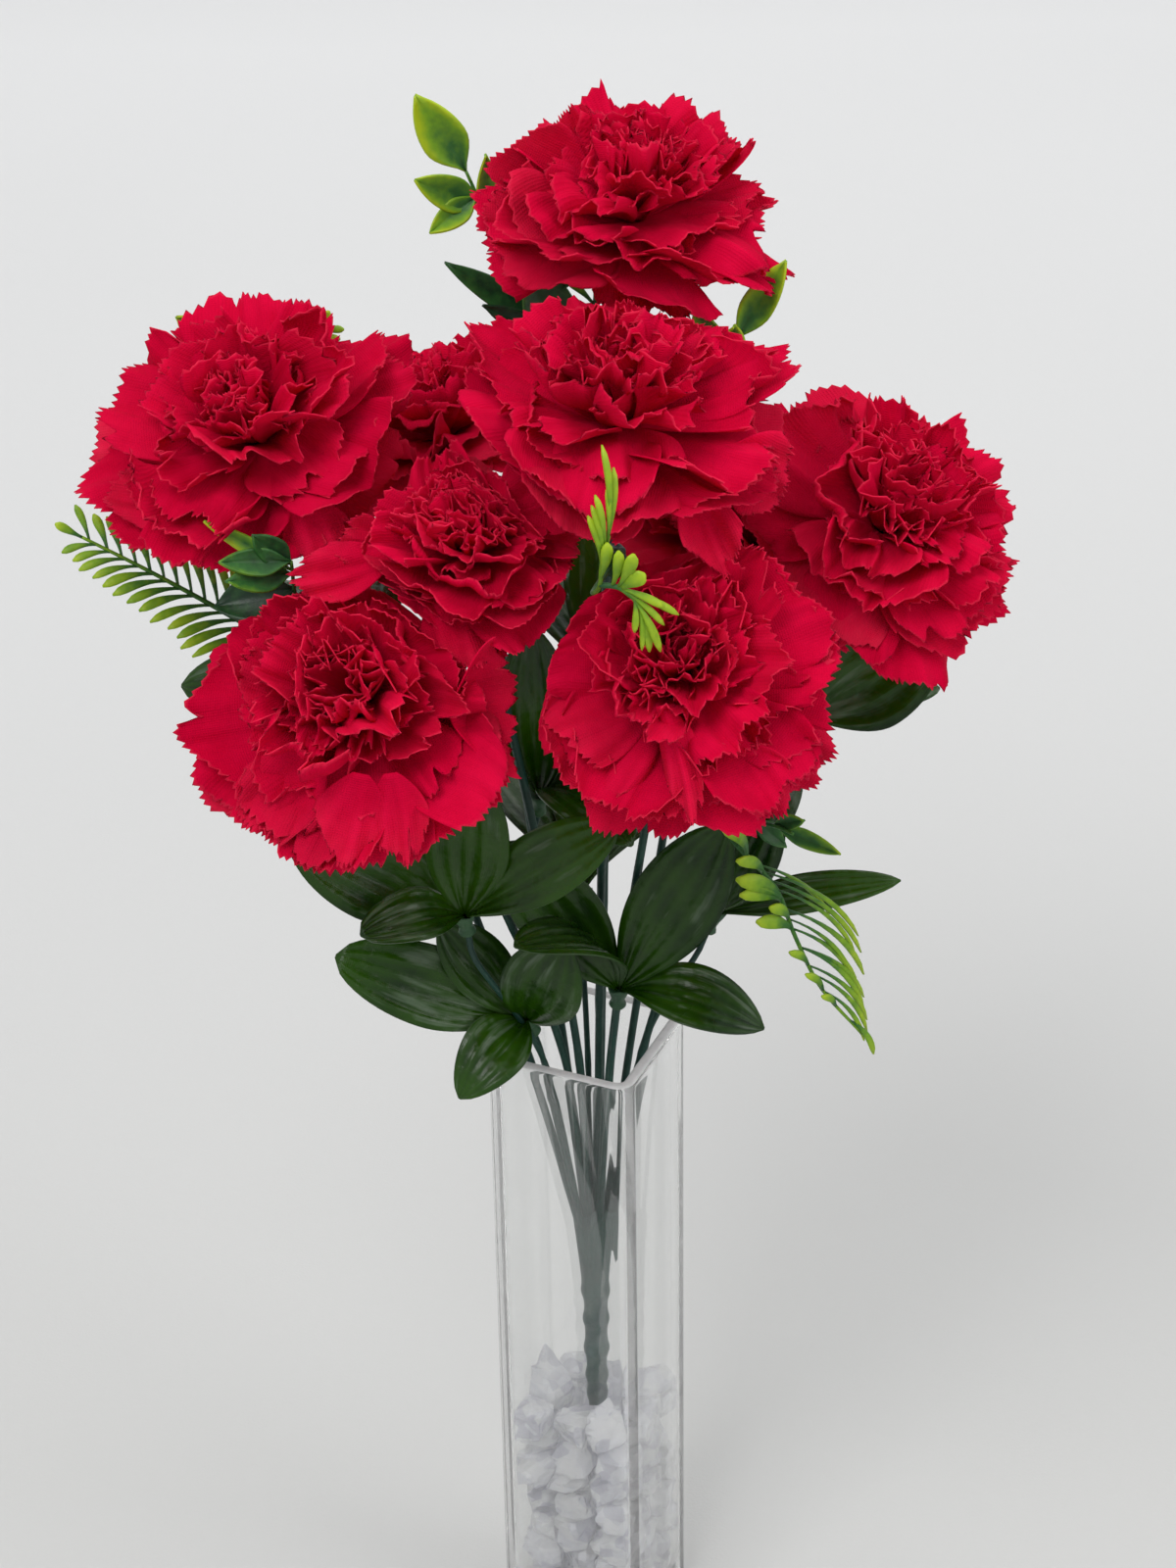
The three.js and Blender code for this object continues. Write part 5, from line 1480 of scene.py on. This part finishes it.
def square_ring(inset):
    """A square with rounded corners, drawn in by the inset: each corner is a quarter circle whose
    radius is what the inset leaves of the outer one, and each side has extra points near its ends,
    so that it shades flat."""
    half = VASE_SIDE / 2 - inset
    corner = np.minimum(max(VASE_CORNER - inset, 1.2), half * 0.9)
    turn = np.linspace(0, np.pi / 2, CORNER_POINTS)
    side = half - corner
    arc = np.stack([side + corner * np.cos(turn), side + corner * np.sin(turn)], -1)
    top = np.stack([side * SIDE_SHARES, np.full(len(SIDE_SHARES), half)], -1)
    rings = [np.concatenate([arc, top])]
    for _ in range(3):
        rings.append(rings[-1] @ np.array([[0, 1], [-1, 0]]))
    return np.concatenate(rings)


def vase_profile():
    """Inset from the outer wall and height, from the middle of the foot round to the inner floor."""
    foot = [(20, 0), (6, 0), (2, 0), (1.0, 0.15), (0.35, 0.5), (0.05, 1.1), (0, 1.8)]
    outer = [(0, 4), (0, 30), (0, 100), (0, 180), (0, 250), (0, 252.4)]
    over = [(0.25, 253.4), (0.8, 253.9), (1.4, 254), (2.6, 254), (3.2, 253.9), (3.75, 253.4)]
    inner = [(4, 252.4), (4, 250), (4, 180), (4, 100), (4, 30), (4, 12.5)]
    floor = [(4.3, 11.2), (5.2, 10.3), (6.5, 10), (9, 10), (20, 10)]
    return np.array(foot + outer + over + inner + floor, float)


vase_rings = np.stack([
    np.insert(square_ring(inset), 2, level, axis=1) for inset, level in vase_profile()
])
vase_points, vase_walls, vase_lids = closed_rings(vase_rings)
vase_piece = add_piece("glass_vase", MM * vase_points, [vase_walls, vase_lids], ["vase"])
print("vase:", len(vase_points), "points")

# %% [markdown]
# ## Moulded plastic
# The trunk, stems, calyxes and collars are one dark blue-green plastic with a satin skin. Plastic
# that was injected has slow changes of tone where it flowed, small pits, and a skin that is glossier
# in some places than in others. So one slow noise drives the colour, another the roughness, and a
# fine one the bump.

# %% Stem and calyx plastic
SATIN, SATIN_SPECULAR = (0.4, 0.6), 0.35


def moulded_plastic(name, dark, light, pits):
    """Satin plastic: two tones mixed by a slow noise, a roughness that changes from place to
    place, and pits of the given depth in metres."""
    material, tree, shader, _ = new_material(name)
    lumps = bumped(tree, object_noise(tree, 260.0), 0.0008, 0.6)
    wired(tree, shader, {
        "Base Color": ramp(tree, object_noise(tree, 70.0, 4.0), [(0.3, dark), (0.7, light)]),
        "Roughness": ranged(tree, object_noise(tree, 160.0), *SATIN),
        "Normal": bumped(tree, object_noise(tree, 1500.0, 2.0), pits, 0.25, lumps),
        "Specular IOR Level": SATIN_SPECULAR,
    })
    return material


stem_material = moulded_plastic("stem_plastic", (0.004, 0.028, 0.02), (0.01, 0.05, 0.035), 0.00008)
calyx_material = moulded_plastic("calyx_plastic", (0.012, 0.05, 0.022), (0.03, 0.09, 0.03), 0.0001)
trunk_and_stems.data.materials.append(stem_material)
for thing in (calyx_piece, collar_piece):
    thing.data.materials.append(calyx_material)
print("plastics:", stem_material.name, calyx_material.name)

# %% [markdown]
# ## Leaf cloth
# The leaves are cloth stiffened with a satin dressing. Their upper side is a deep green with
# yellower clouds, and the underside, which has no dressing, is greyer and rougher. The pressed ribs
# are painted a little paler than the furrows between them: a painted highlight on the ribs and
# painted shade in the furrows. The rim number of the sheets tells the two sides apart, and the cloth
# coordinates, which run straight along the ribs, draw that painted light and shade.
# Pale streaks along the ribs are painted highlights that stand in for their gloss: a noise drawn
# out along the leaf, shown only where a second, rounder noise is high as well.

# %% Leaf material
LEAF_DARK, LEAF_LIGHT = (0.002, 0.018, 0.0), (0.022, 0.074, 0.001)
# The second colour on the next line is a painted highlight: the pale colour of the streaks that stand
# in for gloss along the ribs.
LEAF_BACK, LEAF_STREAK_HIGHLIGHT = (0.028, 0.062, 0.018), (0.12, 0.17, 0.11)
FURROW_TURNS = 2 * math.pi * RIBS / (MM * LEAF_SPAN)

leaf_material, tree, shader, _ = new_material("leaf_cloth")
under = rim_number(tree)
place = node(tree, "SeparateXYZ", {"Vector": cloth_place(tree)}).outputs["X"]
# Painted highlight and shade: the cosine is high on the ribs, which are painted paler, and low in the
# furrows, which keep the darker green.
rib_highlight_furrow_shade = maths(tree, "COSINE", maths(tree, "MULTIPLY", place, FURROW_TURNS))
upper = ramp(tree, object_noise(tree, 28.0, 4.0), [(0.36, LEAF_DARK), (0.66, LEAF_LIGHT)])
upper = mixed(tree, ranged(tree, rib_highlight_furrow_shade, 0.0, 0.35, -1.0, 1.0), upper, LEAF_LIGHT)
# Painted highlight: pale streaks drawn along the leaf stand in for the glossy reflections along its
# ribs.
highlight_streaks = maths(tree, "MULTIPLY", cloth_noise(tree, 420.0, 38.0, 3.0), object_noise(tree, 35.0))
upper = mixed(tree, ranged(tree, highlight_streaks, 0.0, 0.55, 0.3, 0.4), upper, LEAF_STREAK_HIGHLIGHT)
dressing = ranged(tree, object_noise(tree, 45.0), 0.14, 0.38)
dents = bumped(tree, object_noise(tree, 75.0, 3.0), 0.004, 0.6)
wired(tree, shader, {
    "Base Color": mixed(tree, under, upper, LEAF_BACK),
    "Roughness": maths(tree, "ADD", dressing, maths(tree, "MULTIPLY", under, 0.25)),
    "Normal": bumped(tree, weave(tree, 0.0006), 0.00003, 0.5, dents),
    "Specular IOR Level": 0.2,
    "Coat Weight": 0.15,
    "Coat Roughness": 0.1,
})
for thing in leaf_pieces:
    thing.data.materials.append(leaf_material)
print("nodes of the leaf cloth:", len(tree.nodes))

# %% [markdown]
# ## Fern and sprig plastic
# These are moulded in green and touched with yellow paint, which is strongest at the tips and fades
# to nothing near the ribs. The rim number carries that fade, and a noise breaks it up, because the
# paint is dabbed on by hand.

# %% Fern and sprig material
FERN_STOPS = [
    (0.0, (0.008, 0.06, 0.02)), (0.35, (0.04, 0.16, 0.02)), (0.62, (0.2, 0.38, 0.015)),
    (0.95, (0.42, 0.58, 0.02)),
]
SPRIG_STOPS = [
    (0.0, (0.008, 0.035, 0.014)), (0.3, (0.035, 0.14, 0.03)), (0.6, (0.17, 0.36, 0.02)),
    (0.95, (0.42, 0.56, 0.015)),
]


def dabbed_plastic(name, stops, gloss):
    """Plastic whose colour follows the rim number through the stops, shaken by a noise. A part of
    the light goes through it, as it does through thin leaves."""
    material, tree, shader, out = new_material(name)
    shake = maths(tree, "SUBTRACT", object_noise(tree, 300.0, 4.0), 0.5)
    fade = maths(tree, "ADD", rim_number(tree), maths(tree, "MULTIPLY", shake, 0.5))
    colour = ramp(tree, fade, stops)
    wired(tree, shader, {
        "Base Color": colour,
        "Roughness": ranged(tree, object_noise(tree, 200.0), *gloss),
        "Normal": bumped(tree, object_noise(tree, 900.0, 3.0), 0.00015, 0.5),
        "Specular IOR Level": SATIN_SPECULAR,
    })
    shared(tree, 0.2, shader, node(tree, "BsdfTranslucent", {"Color": colour}), out)
    return material


fern_material = dabbed_plastic("fern_plastic", FERN_STOPS, (0.35, 0.55))
sprig_material = dabbed_plastic("sprig_plastic", SPRIG_STOPS, (0.3, 0.5))
for pieces, material in ((fern_pieces, fern_material), (sprig_pieces, sprig_material)):
    for thing in pieces:
        thing.data.materials.append(material)
print("fronds and sprigs:", len(fern_pieces), len(sprig_pieces))

# %% [markdown]
# ## Glass and acrylic
# The vase is clear polished glass, so nearly all of its look comes from the shape of its edges. A
# small part of the light goes straight through, because a ray bent by every wall of so small a
# vase leaves the stems behind it darker than they are. Its rim is ground flat and left matt, which
# makes it a pale grey band: that needs a material of its own on the faces of the rim. The chips
# are clear too, but crazed inside, so they scatter much of the light. A pattern of cells paints the
# shards lighter and darker, cell by cell: painted light that stands in for how their facets bend and
# throw back the light. A second pattern breaks their faces into smaller facets, which catch bright
# glints.

# %% Glass, rim and chips
GLASS_IOR, GLASS_STRAIGHT, CHIP_STRAIGHT = 1.25, 0.14, 0.22
GLASS_TINTS = [(0.3, (0.975, 0.98, 0.977)), (0.7, (0.995, 0.997, 0.995))]
CHALK_TONES = [(0.3, (0.6, 0.6, 0.6)), (0.7, (0.72, 0.72, 0.72))]
# Painted light: the chips' cells are painted in these tones, lighter and darker, standing in for how
# their facets bend and throw back the light.
SHARD_PAINTED_LIGHT_TONES = [(0.25, (0.74, 0.74, 0.8)), (0.45, (0.96, 0.96, 1.0)), (0.7, (1.0, 1.0, 1.0))]
GROUND_BAND = 0.9

glass_material, tree, shader, out = new_material("vase_glass")
wired(tree, shader, {
    "Base Color": ramp(tree, object_noise(tree, 9.0), GLASS_TINTS),
    "Normal": bumped(tree, object_noise(tree, 14.0, 1.0), 0.0004, 0.3),
    "Roughness": 0.0,
    "IOR": GLASS_IOR,
    "Transmission Weight": 0.98,
})
shared(tree, GLASS_STRAIGHT, shader, node(tree, "BsdfTransparent", {}), out)

ground_material, tree, shader, _ = new_material("ground_rim")
wired(tree, shader, {
    "Base Color": ramp(tree, object_noise(tree, 240.0, 4.0), CHALK_TONES),
    "Normal": bumped(tree, object_noise(tree, 1500.0), 0.0001, 0.6),
    "Roughness": 0.55,
    "IOR": GLASS_IOR,
    "Transmission Weight": 0.15,
})

chip_material, tree, shader, out = new_material("ice_chip")
# Painted light: cells painted lighter and darker stand in for the light that the facets refract and
# reflect.
facet_light_cells = node(tree, "TexVoronoi", {"Scale": 190.0, "Vector": object_place(tree)})
cracks = node(
    tree, "TexVoronoi", {"Scale": 150.0, "Vector": object_place(tree)}, distance="CHEBYCHEV"
)
wired(tree, shader, {
    "Base Color": ramp(tree, facet_light_cells.outputs["Color"], SHARD_PAINTED_LIGHT_TONES),
    "Normal": bumped(tree, cracks.outputs["Distance"], 0.003, 0.8),
    "Roughness": 0.03,
    "IOR": 1.35,
    "Coat Weight": 0.6,
    "Coat Roughness": 0.02,
    "Transmission Weight": 0.38,
})
shared(tree, CHIP_STRAIGHT, shader, node(tree, "BsdfTransparent", {}), out)

vase_piece.data.materials.append(glass_material)
vase_piece.data.materials.append(ground_material)
centres = np.empty(3 * len(vase_piece.data.polygons), np.float32)
vase_piece.data.polygons.foreach_get("center", centres)
on_rim = (centres[2::3] > MM * (VASE_HEIGHT - GROUND_BAND)).astype(np.int32)
vase_piece.data.polygons.foreach_set("material_index", on_rim)
chip_piece.data.materials.append(chip_material)
print("faces on the ground rim:", int(on_rim.sum()))
